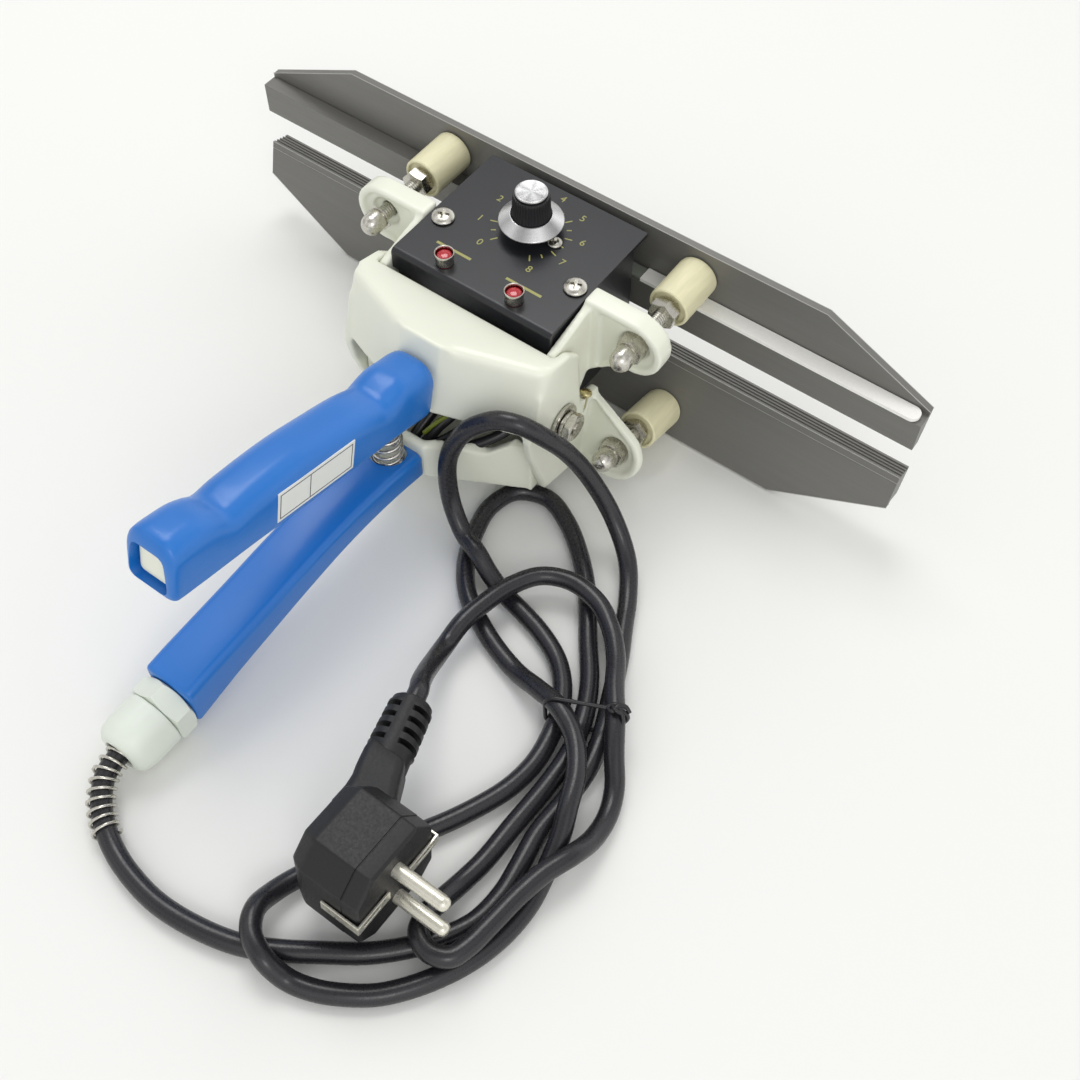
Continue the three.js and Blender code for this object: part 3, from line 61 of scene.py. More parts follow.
UPPER_TILT = radians(-9.38)
LOWER = HINGE @ Matrix.Rotation(LOWER_TILT, 4, "X") @ Matrix.Scale(MM, 4)
UPPER = HINGE @ Matrix.Rotation(UPPER_TILT, 4, "X") @ Matrix.Scale(MM, 4)
TABLE = Matrix.Scale(MM, 4)


# Camera of the photograph
CAMERA_PLACE = (206.79, -225.42, 398.50)
CAMERA_AZIMUTH = radians(30.87)
CAMERA_ELEVATION = radians(52.68)
CAMERA_ROLL = radians(5.99)
CAMERA_LENS = 44.95
CAMERA_SENSOR = 36.0


def new_object(name, data):
    made = bpy.data.objects.new(name, data)
    bpy.context.scene.collection.objects.link(made)
    return made


def add_camera():
    level = Vector((cos(CAMERA_AZIMUTH), sin(CAMERA_AZIMUTH), 0))
    ahead = Vector((-sin(CAMERA_AZIMUTH), cos(CAMERA_AZIMUTH), 0)) * cos(CAMERA_ELEVATION)
    ahead.z = -sin(CAMERA_ELEVATION)
    rise = level.cross(ahead)
    right = level * cos(CAMERA_ROLL) + rise * sin(CAMERA_ROLL)
    up = rise * cos(CAMERA_ROLL) - level * sin(CAMERA_ROLL)
    data = bpy.data.cameras.new("camera")
    data.lens = CAMERA_LENS
    data.sensor_width = CAMERA_SENSOR
    camera = new_object("camera", data)
    turn = Matrix((right, up, -ahead)).transposed().to_4x4()
    camera.matrix_world = Matrix.Translation(Vector(CAMERA_PLACE) * MM) @ turn
    bpy.context.scene.camera = camera


# Materials
def srgb(red, green, blue):
    def linear(value):
        share = value / 255
        return share / 12.92 if share <= 0.04045 else ((share + 0.055) / 1.055) ** 2.4
    return (linear(red), linear(green), linear(blue), 1)


def shade(colour, factor):
    return tuple(min(channel * factor, 1) for channel in colour[:3]) + (1,)


NOISE_DETAIL = 3.0
NOISE_RANGE = (0.3, 0.7)


class Nodes:
    """A short way to write a node tree."""

    def __init__(self, tree, place="Object"):
        self.tree = tree
        self.place = self.add("ShaderNodeTexCoord").outputs[place]

    def add(self, kind, inputs=None, **values):
        node = self.tree.nodes.new(kind)
        for name, value in values.items():
            setattr(node, name, value)
        for name, value in (inputs or {}).items():
            node.inputs[name].default_value = value
        return node

    def link(self, source, target):
        self.tree.links.new(source, target)

    def noise(self, scale, stretch=None):
        texture = self.add("ShaderNodeTexNoise", {"Scale": scale, "Detail": NOISE_DETAIL})
        place = self.place
        if stretch:
            mapping = self.add("ShaderNodeMapping", {"Scale": stretch})
            self.link(self.place, mapping.inputs["Vector"])
            place = mapping.outputs["Vector"]
        self.link(place, texture.inputs["Vector"])
        return texture.outputs["Fac"]

    def spread(self, source, low, high, seen=NOISE_RANGE):
        """A noise between two of its values, spread over low to high."""
        limits = {"From Min": seen[0], "From Max": seen[1], "To Min": low, "To Max": high}
        remap = self.add("ShaderNodeMapRange", limits)
        self.link(source, remap.inputs["Value"])
        return remap.outputs["Result"]

    def mix(self, factor, first, second):
        blend = self.add("ShaderNodeMix", {"A": first, "B": second}, data_type="RGBA")
        self.link(factor, blend.inputs["Factor"])
        return blend.outputs["Result"]

    def bump(self, source, distance):
        bump = self.add("ShaderNodeBump", {"Strength": 1, "Distance": distance * MM})
        self.link(source, bump.inputs["Height"])
        return bump.outputs["Normal"]


GLOSS_SPREAD = 0.06
COAT_ROUGHNESS = 0.15


def new_material(name):
    material = bpy.data.materials.new(name)
    material.use_nodes = True
    return material, material.node_tree.nodes["Principled BSDF"].inputs


def finish_of(name, colour, roughness, metal=0.0, vary=0.05, patch=40, grain=900, depth=0.02,
              stretch=None, coat=0.0):
    """A material with patches of tone, and a grain in its gloss and height."""
    material, inputs = new_material(name)
    nodes = Nodes(material.node_tree)
    paint = srgb(*colour)
    tone = nodes.mix(nodes.noise(patch, stretch), shade(paint, 1 - vary), shade(paint, 1 + vary))
    nodes.link(tone, inputs["Base Color"])
    fine = nodes.noise(grain, stretch)
    gloss = nodes.spread(fine, roughness - GLOSS_SPREAD, roughness + GLOSS_SPREAD)
    nodes.link(gloss, inputs["Roughness"])
    nodes.link(nodes.bump(fine, depth), inputs["Normal"])
    inputs["Metallic"].default_value = metal
    inputs["Coat Weight"].default_value = coat
    inputs["Coat Roughness"].default_value = COAT_ROUGHNESS
    return material


ALONG_X = (0.05, 1.0, 1.0)
ALONG_Y = (1.0, 0.1, 1.0)

# In order: colour, roughness, metal, tone spread, scale of patches and of grain, depth of grain in mm
CASTING = finish_of("cast_paint", (229, 231, 215), 0.34, vary=0.03, patch=60, grain=700, coat=0.2)
GRIP = finish_of("dipped_grip", (26, 110, 194), 0.34, vary=0.07, patch=30, grain=1100, depth=0.01, coat=0.15)
JAW = finish_of("jaw_metal", (118, 117, 113), 0.46, 0.4, 0.07, 500, 1500, 0.01, ALONG_X)
STEEL = finish_of("nickel_plate", (200, 197, 188), 0.26, 1, 0.1, 220, 800, 0.006)
STRIP = finish_of("heater_strip", (240, 239, 234), 0.5, 0, 0.05, 900, 1600, 0.01)
# Painted shadow of the control box on the upper heater strip, grey-green
STRIP_SHADOW = finish_of("heater_painted_shadow", (112, 118, 108), 0.5, 0, 0.08, 600, 1500, 0.01)
# Painted highlight for the jaws' edges
JAW_HIGHLIGHT = finish_of("painted_jaw_highlight", (176, 175, 170), 0.4, 0.5, 0.1, 700, 1500, 0.01)
ZINC = finish_of("zinc_plate", (190, 188, 178), 0.3, 1, 0.08, 150, 900, 0.01)
CERAMIC = finish_of("ceramic", (222, 217, 180), 0.46, 0, 0.16, 520, 1500, 0.02, ALONG_Y, 0.1)
PANEL = finish_of("panel_paint", (27, 28, 32), 0.34, 0, 0.08, 120, 2200, 0.006)
BLACK = finish_of("black_plastic", (30, 30, 33), 0.36, 0, 0.08, 150, 1200, 0.01)
PLASTIC = finish_of("plug_plastic", (14, 14, 17), 0.5, 0, 0.12, 90, 1400, 0.012)
# Aluminium of the knob; painted reflections in sectors are multiplied into its colour below
ALUMINIUM = finish_of("aluminium_painted_reflections", (216, 216, 216), 0.3, 0.85, 0.04, 300, 1600, 0.006)
LENS = finish_of("red_lens", (178, 22, 38), 0.12, 0, 0.1, 300, 600, 0.004, coat=0.8)
BOARD = finish_of("board_laminate", (47, 107, 58), 0.45, 0, 0.08, 300, 900, 0.02)
BRASS = finish_of("brass", (196, 184, 138), 0.3, 1, 0.08, 200, 900, 0.008)
GLAND = finish_of("nylon", (222, 228, 217), 0.38, 0, 0.03, 100, 900, 0.02)
CORD = finish_of("cord_sheath", (34, 33, 37), 0.29, 0, 0.09, 120, 900, 0.004)
MARKS = finish_of("dial_print", (160, 158, 92), 0.5, 0, 0.06, 400, 1500, 0.004)
LABEL = finish_of("paper_label", (226, 228, 224), 0.45, 0, 0.02, 200, 1800, 0.01)
INK = finish_of("label_ink", (52, 54, 60), 0.5, 0, 0.05, 200, 1800, 0.004)
PINS = finish_of("plug_metal", (222, 219, 205), 0.3, 0.75, 0.1, 260, 800, 0.006)
EARTH = finish_of("earth_wire", (120, 132, 44), 0.4, 0, 0.06, 200, 900, 0.01)

# Painted reflections of turned metal, as bright and dark sectors: share of half a turn and brightness
REFLECTION_SECTORS = [(0, 0.58), (0.14, 1), (0.3, 0.7), (0.46, 0.95), (0.6, 0.62), (0.8, 1)]
KNOB_Y = 39.7
KNOB_AXIS = (0, KNOB_Y, 45)


# Painted reflections: a radial ramp round the knob's axis lightens and darkens the colour
def add_sectors(material):
    nodes = Nodes(material.node_tree)
    place = {"Location": LOWER @ Vector(KNOB_AXIS), "Rotation": (LOWER_TILT, 0, 0)}
    turn = nodes.add("ShaderNodeMapping", place, vector_type="TEXTURE")
    nodes.link(nodes.place, turn.inputs["Vector"])
    sweep = nodes.add("ShaderNodeTexGradient", gradient_type="RADIAL")
    nodes.link(turn.outputs["Vector"], sweep.inputs["Vector"])
    ramp = nodes.add("ShaderNodeValToRGB")
    stops = [(HALF * (half + share), light) for half in (0, 1) for share, light in REFLECTION_SECTORS]
    for at, (share, light) in enumerate([*stops, (1, REFLECTION_SECTORS[0][1])]):
        stop = ramp.color_ramp.elements[at] if at < 2 else ramp.color_ramp.elements.new(share)
        stop.position = share
        stop.color = (light, light, light, 1)
    nodes.link(sweep.outputs["Fac"], ramp.inputs["Fac"])
    base = material.node_tree.nodes["Principled BSDF"].inputs["Base Color"]
    blend = nodes.add("ShaderNodeMix", {"Factor": 1}, data_type="RGBA", blend_type="MULTIPLY")
    nodes.link(base.links[0].from_socket, blend.inputs["A"])
    nodes.link(ramp.outputs["Color"], blend.inputs["B"])
    nodes.link(blend.outputs["Result"], base)


add_sectors(ALUMINIUM)

CLASS_OF = {
    "casting": CASTING, "grip": GRIP, "jaw": JAW, "zinc": ZINC, "steel": STEEL, "ceramic": CERAMIC,
    "panel": PANEL, "black": BLACK, "aluminium": ALUMINIUM, "lens": LENS, "board": BOARD,
    "brass": BRASS, "gland": GLAND, "cord": CORD,
}


# Meshes in millimetres
def shell():
    return bmesh.new()


def add_rings(bm, rings, closed=False):
    loops = [[bm.verts.new(point) for point in ring] for ring in rings]
    pairs = list(zip(loops, loops[1:]))
    if closed:
        pairs.append((loops[-1], loops[0]))
    count = len(rings[0])
    for near, far in pairs:
        for at in range(count):
            ahead = (at + 1) % count
            bm.faces.new((near[at], near[ahead], far[ahead], far[at]))
    if not closed:
        bm.faces.new(loops[0][::-1])
        bm.faces.new(loops[-1])
    return bm


STRAIGHT = radians(176)
FILLET_SHARE = 0.45


def fillet(points, radius, steps=4, closed=True):
    """The outline with each corner rounded, as far as its sides allow."""
    rounded = []
    count = len(points)
    for at, corner in enumerate(points):
        if not closed and at in (0, count - 1):
            rounded.append(tuple(corner))
            continue
        here = Vector(corner)
        back = Vector(points[at - 1]) - here
        ahead = Vector(points[(at + 1) % count]) - here
        angle = back.angle(ahead)
        if angle > STRAIGHT:
            rounded.append(tuple(corner))
            continue
        reach = min(radius / tan(angle * HALF), min(back.length, ahead.length) * FILLET_SHARE)
        first = here + back.normalized() * reach
        last = here + ahead.normalized() * reach
        for step in range(steps + 1):
            share = step / steps
            bend = first.lerp(here, share).lerp(here.lerp(last, share), share)
            rounded.append(tuple(bend))
    return rounded


def circle(sides):
    return [2 * pi * side / sides for side in range(sides)]


def arc(steps):
    """Angles of a quarter turn, after its start."""
    return [step / steps * pi * HALF for step in range(1, steps + 1)]


AXES = {
    "X": lambda a, b, run: (run, a, b),
    "Y": lambda a, b, run: (a, run, b),
    "Z": lambda a, b, run: (a, b, run),
}


def prism(outline, start, end, axis, bm=None):
    put = AXES[axis]
    return add_rings(bm or shell(), [[put(a, b, run) for a, b in outline] for run in (start, end)])


def raised(profile, level, sign=1):
    """A profile whose runs are counted from a level, upward or downward."""
    return [(reach, level + sign * run) for reach, run in profile]


# Radius of a ring on the axis, so that its faces stay whole
AXIS_RADIUS = 0.02


def lathe(profile, axis="Y", centre=(0, 0), sides=ROUND, closed=False, wave=None):
    """Rings along an axis; a profile point is (radius, run). `wave` scales the radius by the angle."""
    put = AXES[axis]
    rings = []
    for radius, run in profile:
        ring = []
        for angle in circle(sides):
            reach = max(radius, AXIS_RADIUS) * (wave(angle, radius, run) if wave else 1)
            a, b = centre[0] + reach * cos(angle), centre[1] + reach * sin(angle)
            ring.append(put(a, b, run))
        rings.append(ring)
    return add_rings(shell(), rings, closed=closed)


def box(low, high, bm=None):
    outline = [(low[0], low[1]), (high[0], low[1]), (high[0], high[1]), (low[0], high[1])]
    return prism(outline, low[2], high[2], "Z", bm)


TUBE_ACROSS = (0.3, 0.1, 1)


def tube(points, radius, sides=12, bm=None):
    """Closed tube along points, with a ring that doesn't twist."""
    line = [Vector(point) for point in points]
    across = Vector(TUBE_ACROSS).normalized()
    rings = []
    for at, here in enumerate(line):
        along = (line[min(at + 1, len(line) - 1)] - line[max(at - 1, 0)]).normalized()
        across = (across - along * across.dot(along)).normalized()
        up = along.cross(across)
        turns = circle(sides)
        rings.append([here + across * radius * cos(a) + up * radius * sin(a) for a in turns])
    return add_rings(bm or shell(), rings)


WELD = 0.002
FLAT = radians(0.5)


def copy_of(node, arm):
    """A CAD node's skin in its arm's millimetres, with its flat faces whole again."""
    bm = shell()
    bm.from_mesh(frame["nodes"][node].data)
    bm.transform(arm.inverted())
    bmesh.ops.remove_doubles(bm, verts=bm.verts, dist=WELD)
    bmesh.ops.dissolve_limit(bm, angle_limit=FLAT, verts=bm.verts, edges=bm.edges)
    return bm


def span(node, arm):
    """Lowest and highest corner of a CAD node in its arm's millimetres."""
    back = arm.inverted()
    corners = [back @ vertex.co for vertex in frame["nodes"][node].data.vertices]
    low = Vector([min(corner[axis] for corner in corners) for axis in range(3)])
    high = Vector([max(corner[axis] for corner in corners) for axis in range(3)])
    return low, high


def loose_object(bm, name="part"):
    bmesh.ops.recalc_face_normals(bm, faces=bm.faces)
    mesh = bpy.data.meshes.new(name)
    bm.to_mesh(mesh)
    bm.free()
    return new_object(name, mesh)


def skin_of(made):
    """The skin of a loose object after its modifiers; the object goes."""
    bpy.context.view_layer.update()
    bm = shell()
    bm.from_mesh(made.evaluated_get(bpy.context.evaluated_depsgraph_get()).to_mesh())
    bpy.data.objects.remove(made)
    return bm


def with_modifiers(bm, *settings, tools=()):
    """The skin after modifiers, each given as a kind and its values."""
    made = loose_object(bm)
    for kind, values in settings:
        modifier = made.modifiers.new(kind, kind)
        for name, value in values.items():
            setattr(modifier, name, value)
    out = skin_of(made)
    for tool in tools:
        bpy.data.objects.remove(tool)
    return out


def combine(bm, other, operation):
    tool = loose_object(other, "tool")
    settings = {"object": tool, "operation": operation, "solver": "EXACT"}
    return with_modifiers(bm, ("BOOLEAN", settings), tools=(tool,))


def carve(bm, *cutters):
    for cutter in cutters:
        bm = combine(bm, cutter, "DIFFERENCE")
    return bm


def common(bm, other):
    return combine(bm, other, "INTERSECT")


def soften(bm, width, angle=28, segments=2):
    limit = {"limit_method": "ANGLE", "angle_limit": radians(angle)}
    return with_modifiers(bm, ("BEVEL", {"width": width, "segments": segments, **limit}))


def place(name, bm, arm, body, material, slot, replaces=(), smooth=32, even=True):
    """Puts a skin into the scene as a piece that rides on a body."""
    bm.transform(arm)
    made = loose_object(bm, name)
    mesh = made.data
    mesh.materials.clear()
    mesh.materials.append(material)
    mesh.polygons.foreach_set("use_smooth", [True] * len(mesh.polygons))
    mesh.polygons.foreach_set("material_index", [0] * len(mesh.polygons))
    mesh.set_sharp_from_angle(angle=radians(smooth))
    if even:
        made.modifiers.new("even", "WEIGHTED_NORMAL").keep_sharp = True
    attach(made, body)
    if replaces:
        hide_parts(*replaces)


SLOT_OF = {part["node"]: part["material_slot"] for part in frame["record"]["subparts"]}
BODIES = frame["record"]["behaviour"]["bodies"]
BODY_OF = {node: body for body, nodes in BODIES.items() for node in nodes}


def dress(node, bm, arm, material=None, smooth=32, even=True):
    """A piece that stands for one CAD node."""
    slot = SLOT_OF[node]
    name = f"{node}_skin"
    place(name, bm, arm, BODY_OF[node], material or CLASS_OF[slot], slot, (node,), smooth, even)


# Cord: the route of the photograph
CORD_DIAMETER = 6.8
CORD_ROUTE = [
    (0, -103, 12.2), (0, -113, 11.3), (0, -122, 10.4), (1, -130, 9.2), (5, -136.5, 7.2),
    (11, -141.5, 5.3), (19, -145.5, 3.9), (29, -148.3, 3.6), (42, -149.7, 3.6), (57, -148, 3.6),
    (70, -144.3, 3.6), (80, -139, 3.6), (91, -131.5, 3.6), (101, -124.3, 3.6), (109, -116.5, 3.6),
    (116, -107.5, 3.6), (121.3, -97, 3.6), (122.6, -85, 3.6), (121.3, -74, 3.6), (119.6, -62, 3.6),
    (120, -47, 3.6), (119.4, -33, 4.4), (115.8, -19.6, 5.1), (110.4, -6.6, 4.2), (104, 8.4, 3.6),
    (98, 20, 3.6), (93, 30, 4), (84.5, 42, 8), (72.5, 48.5, 18), (61, 47.5, 33),
    (53.8, 42, 46), (48.5, 35, 56), (42, 30.2, 61.5), (35, 27.6, 61.5), (30, 26, 58.5),
    (25, 23.8, 53.5), (21.5, 22, 47), (19.8, 19.6, 39), (21, 17.5, 30), (25, 15.5, 19.5),
    (33, 12.4, 11.8), (40.5, 9.8, 11), (48, 7.4, 7), (56, 5.4, 4), (66, 3.2, 3.6),
    (77, -0.2, 3.6), (87, -5.4, 3.8), (94.6, -13, 4.6), (100, -22.4, 5.1), (103, -32.6, 4.4),
    (104.2, -43, 3.6), (102.8, -55, 3.6), (98, -68.6, 3.6), (91, -82.6, 3.6), (80, -99, 3.6),
    (71, -115, 3.6), (67.6, -127, 6), (68.6, -135.6, 10.6), (73, -141.6, 11.2), (80.5, -144.6, 9.8),
    (88, -144, 4.6), (96, -141.6, 3.6), (104, -137.4, 3.6), (112.4, -131, 3.6), (120.6, -120.5, 3.6),
    (127, -108, 3.6), (130.4, -95.6, 3.6), (131, -82.6, 3.6), (128.8, -70, 3.8), (126.6, -60, 7.4),
    (123.5, -52, 10.4), (119, -41, 11.8), (111, -31, 12.5), (101, -25.4, 13), (91, -22.2, 9.6),
    (80, -18.6, 4.4), (70, -15.4, 3.6), (59, -10.6, 3.6), (46, -2.6, 3.6), (37, 8.4, 3.6),
    (31, 22.4, 3.6), (28.6, 34.4, 3.6), (32, 46, 3.6), (43, 50.8, 3.6), (56, 45.6, 3.6),
    (70, 34.4, 3.6), (80, 23.4, 3.6), (91.6, 7, 3.6), (101.4, -6.6, 4.4), (108, -20, 5.1),
    (111.4, -32.6, 4.4), (112.2, -47, 3.6), (111.8, -64, 3.6), (111.6, -80, 3.6), (110.4, -90, 4),
    (109.6, -98.6, 6.4), (109.6, -106.6, 9.7), (111.9, -112.3, 11), (117.6, -114.6, 11.1),
    (123.3, -112.3, 11.1), (125.6, -106.6, 11.1), (127, -96, 11.1), (128.2, -85, 11.1), (130.4, -74, 11.1),
    (133.8, -64, 10.4), (135, -54, 6), (134, -44, 4), (130.6, -35, 5), (124.6, -27, 9.4),
    (117.6, -16.5, 12.7), (111, -7, 12.5), (105, 3, 11.6), (97.4, 11.6, 11.2), (87, 18.4, 11.2),
    (75, 20, 11.2), (65, 15.4, 11.2), (59, 5.4, 11.2), (56.2, -6, 11.2), (54.8, -17, 10.8), (55.2, -27, 9),
    (57.4, -36, 12.5), (60.4, -44.4, 18.4), (63.6, -51, 23.8), (65.8, -54.6, 26), (67.2, -58.8, 26.4),
]
CORD_STEPS = 6


def smooth_line(points, steps):
    """A centripetal curve through the points."""
    line = [Vector(point) for point in points]
    ends = [line[0] * 2 - line[1], *line, line[-1] * 2 - line[-2]]
    out = []
    for at in range(1, len(ends) - 2):
        p0, p1, p2, p3 = ends[at - 1:at + 3]
        t1 = (p1 - p0).length ** HALF
        t2 = t1 + (p2 - p1).length ** HALF
        t3 = t2 + (p3 - p2).length ** HALF
        for step in range(steps):
            t = t1 + (t2 - t1) * step / steps
            a1 = p0.lerp(p1, t / t1)
            a2 = p1.lerp(p2, (t - t1) / (t2 - t1))
            a3 = p2.lerp(p3, (t - t2) / (t3 - t2))
            b1 = a1.lerp(a2, t / t2)
            b2 = a2.lerp(a3, (t - t1) / (t3 - t1))
            out.append(b1.lerp(b2, (t - t1) / (t2 - t1)))
    out.append(line[-1])
    return out


CORD_LINE = smooth_line(CORD_ROUTE, CORD_STEPS)
CORD_ROUNDNESS = 7


def add_cord():
    data = bpy.data.curves.new("mains_cord", "CURVE")
    data.dimensions = "3D"
    data.bevel_depth = CORD_DIAMETER * HALF * MM
    data.bevel_resolution = CORD_ROUNDNESS
    data.use_fill_caps = True
    spline = data.splines.new("POLY")
    spline.points.add(len(CORD_LINE) - 1)
    for point, here in zip(spline.points, CORD_LINE):
        point.co = (*(here * MM), 1)
    spline.use_smooth = True
    data.materials.append(CORD)
    cord = new_object("mains_cord", data)
    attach(cord, "lower_arm")
    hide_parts("power_cord")
    return cord


# Floor and lamps, in metres, and uneven soft light from all sides for metal to mirror
FLOOR_SIZE = 6
FLOOR_DROP = 0.0003
FLOOR_COLOUR = (236, 236, 233)
FLOOR_ROUGHNESS = 0.6
WHITE = (1, 1, 1, 1)
WORLD_LIGHT = (0.5, 1.3)
WORLD_RANGE = (0.35, 0.65)
WORLD_PATCH = 1.4
LAMPS = [
    ("overhead", (-0.5, 0.5, 1.6), 0.8, 9),
    ("side", (0.9, -0.9, 1.1), 0.5, 3.5),
]


def add_floor():
    bpy.ops.mesh.primitive_plane_add(size=FLOOR_SIZE, location=(0, 0, -FLOOR_DROP))
    floor = bpy.context.object
    floor.name = "floor"
    material, inputs = new_material("floor")
    inputs["Base Color"].default_value = srgb(*FLOOR_COLOUR)
    inputs["Roughness"].default_value = FLOOR_ROUGHNESS
    floor.data.materials.append(material)


def add_stage():
    add_floor()
    world = bpy.data.worlds.new("studio")
    bpy.context.scene.world = world
    world.use_nodes = True
    nodes = Nodes(world.node_tree, "Generated")
    light = world.node_tree.nodes["Background"]
    light.inputs["Color"].default_value = WHITE
    sky = nodes.add("ShaderNodeTexNoise", {"Scale": WORLD_PATCH})
    nodes.link(nodes.place, sky.inputs["Vector"])
    nodes.link(nodes.spread(sky.outputs["Fac"], *WORLD_LIGHT, WORLD_RANGE), light.inputs["Strength"])
    shown = nodes.add("ShaderNodeBackground", {"Color": WHITE})
    path = nodes.add("ShaderNodeLightPath")
    either = nodes.add("ShaderNodeMath", operation="MAXIMUM")
    nodes.link(path.outputs["Is Camera Ray"], either.inputs[0])
    nodes.link(path.outputs["Is Transmission Ray"], either.inputs[1])
    mix = nodes.add("ShaderNodeMixShader")
    for socket, source in zip(mix.inputs, (either, light, shown)):
        nodes.link(source.outputs[0], socket)
    nodes.link(mix.outputs[0], world.node_tree.nodes["World Output"].inputs["Surface"])
    for name, place_at, size, power in LAMPS:
        data = bpy.data.lights.new(name, "AREA")
        data.size = size
        data.energy = power
        lamp = new_object(name, data)
        lamp.location = place_at
        lamp.rotation_euler = (-Vector(place_at)).to_track_quat("-Z", "Y").to_euler()
    bpy.context.scene.view_settings.view_transform = "Standard"


# Castings: the CAD's skin with the rounding that a casting has
CAST_VOXEL = 0.75
CAST_SMOOTH = {"factor": 0.6, "iterations": 7}
CAST_DECIMATE = 0.3
EVERY_AXIS = {"use_axis_x": True, "use_axis_y": True, "use_axis_z": True}
# Boxes whose creases are softer, and the rounds of smoothing there
MELLOW = {"upper_handle_frame": ((-50, -31, 20), (50, -14, 40), 60)}


def cast(node, arm):
    grid = {"mode": "VOXEL", "voxel_size": CAST_VOXEL, "use_smooth_shade": True}
    bm = with_modifiers(copy_of(node, arm), ("REMESH", grid), ("SMOOTH", CAST_SMOOTH))
    if node in MELLOW:
        low, high, rounds = MELLOW[node]
        chosen = [v for v in bm.verts if all(a <= b <= c for a, b, c in zip(low, v.co, high))]
        for _ in range(rounds):
            bmesh.ops.smooth_vert(bm, verts=chosen, factor=HALF, **EVERY_AXIS)
    bm = with_modifiers(bm, ("DECIMATE", {"ratio": CAST_DECIMATE}))
    dress(node, bm, arm, CASTING, smooth=60, even=False)


# Grips: place, bottom and top of each section along the arm
GRIP_STEP = 2.0
UPPER_SECTIONS = [
    (-155, 3.2, 23.6), (-152, 2.5, 24.9), (-146, 2.5, 25.1), (-140, 2.5, 24.8), (-135, 2.6, 23.4),
    (-130, 2.7, 21.3), (-123.5, 2.8, 22.6), (-117, 2.8, 23.4), (-108, 2.6, 24.2), (-97, 2.6, 24.6),
    (-84, 2.8, 24), (-70, 3, 23.1), (-62, 3.1, 21.8), (-58.8, 3.2, 21.2), (-55, 3.2, 23),
    (-50, 3.1, 24.7), (-44, 2.9, 24.6), (-37, 2.6, 24.6), (-32.8, 3.6, 23.6),
]
LOWER_SECTIONS = [
    (-157, -22, -3.4), (-150, -20.6, -2.6), (-138, -18.2, -1.9), (-120, -15.8, -1), (-100, -13.4, 0.4),
    (-79, -12, 0.9), (-58, -13.2, -0.3), (-39.3, -16.4, -3.4),
]
GRIP_SHAPES = {
    "upper": {
        "arm": UPPER, "sections": UPPER_SECTIONS, "half_width": 9.9, "top_corner": 7.4, "low_corner": 3.4,
        "rear_round": 2.4, "front_round": 4, "crown": 3,
    },
    "lower": {
        "arm": LOWER, "sections": LOWER_SECTIONS, "half_width": 10, "top_corner": 2.8, "low_corner": 2.8,
        "rear_round": 1.4, "front_round": 1.2, "crown": 0,
    },
}
GRIP_CORNER_STEPS = 7
SPRING_FOOT = (0, -46.5, -6)
SPRING_HEAD = (0, -49, 7.6)
SPRING_HOLE = 6.8
MOUTH = [(7.4, 4.8), (5.8, 19.6), (-7, 19.6), (-8.5, 4.8)]
MOUTH_CORNER = 3.6
MOUTH_START = -158
MOUTH_END = -149


def monotone(sections, y):
    """Bottom and top of a grip at y, on a smooth curve through its sections."""
    last = len(sections) - 1
    at = next((i for i in range(last - 1) if y < sections[i + 1][0]), last - 1)
    p = [sections[max(at - 1, 0)], sections[at], sections[at + 1], sections[min(at + 2, last)]]
    run = p[2][0] - p[1][0]
    t = (y - p[1][0]) / run
    out = []
    for axis in (1, 2):
        before = (p[2][axis] - p[0][axis]) / (p[2][0] - p[0][0]) * run
        after = (p[3][axis] - p[1][axis]) / (p[3][0] - p[1][0]) * run
        step = p[2][axis] - p[1][axis]
        bend = (before + after - 2 * step) * t + 3 * step - 2 * before - after
        out.append((bend * t + before) * t + p[1][axis])
    return out


LEAST_CORNER = 0.4


def grip_ring(shape, y, inset=0.0, drop=0.0):
    sections = shape["sections"]
    bottom, top = monotone(sections, min(max(y, sections[0][0]), sections[-1][0]))
    half_width = shape["half_width"] - inset
    corners = [
        (1, 1, shape["top_corner"]), (-1, 1, shape["top_corner"]),
        (-1, -1, shape["low_corner"]), (1, -1, shape["low_corner"]),
    ]
    ring = []
    for quarter, (side, level, radius) in enumerate(corners):
        radius = max(radius - inset * HALF, LEAST_CORNER)
        x = side * (half_width - radius)
        z = top - inset - drop - radius if level > 0 else bottom + inset + radius
        for step in range(GRIP_CORNER_STEPS + 1):
            angle = (quarter + step / GRIP_CORNER_STEPS) * pi * HALF
            ring.append((x + radius * cos(angle), y, z + radius * sin(angle)))
    return ring


def rounded_end(shape, edge, reach, toward):
    """Rings that round the end of a grip, from the edge inward."""
    rings = []
    for step in range(GRIP_CORNER_STEPS):
        angle = step / GRIP_CORNER_STEPS * pi * HALF
        inset = 1 - sin(angle)
        y = edge + toward * reach * (1 - cos(angle))
        rings.append(grip_ring(shape, y, reach * inset, shape["crown"] * inset))
    return rings


def grip_skin(shape):
    first, last = shape["sections"][0][0], shape["sections"][-1][0]
    rings = rounded_end(shape, first, shape["rear_round"], 1)
    y = first + shape["rear_round"]
    while y < last - shape["front_round"] - GRIP_STEP * HALF:
        rings.append(grip_ring(shape, y))
        y += GRIP_STEP
    rings += rounded_end(shape, last, shape["front_round"], -1)[::-1]
    return add_rings(shell(), rings)


def spring_ends(arm):
    """Foot and head of the handle spring in an arm's millimetres."""
    back = arm.inverted()
    return back @ (LOWER @ Vector(SPRING_FOOT)), back @ (UPPER @ Vector(SPRING_HEAD))


def rod_between(start, end, radius):
    return tube([start, start.lerp(end, HALF), end], radius, ROUND)


MOUTH_BEVEL = 0.7


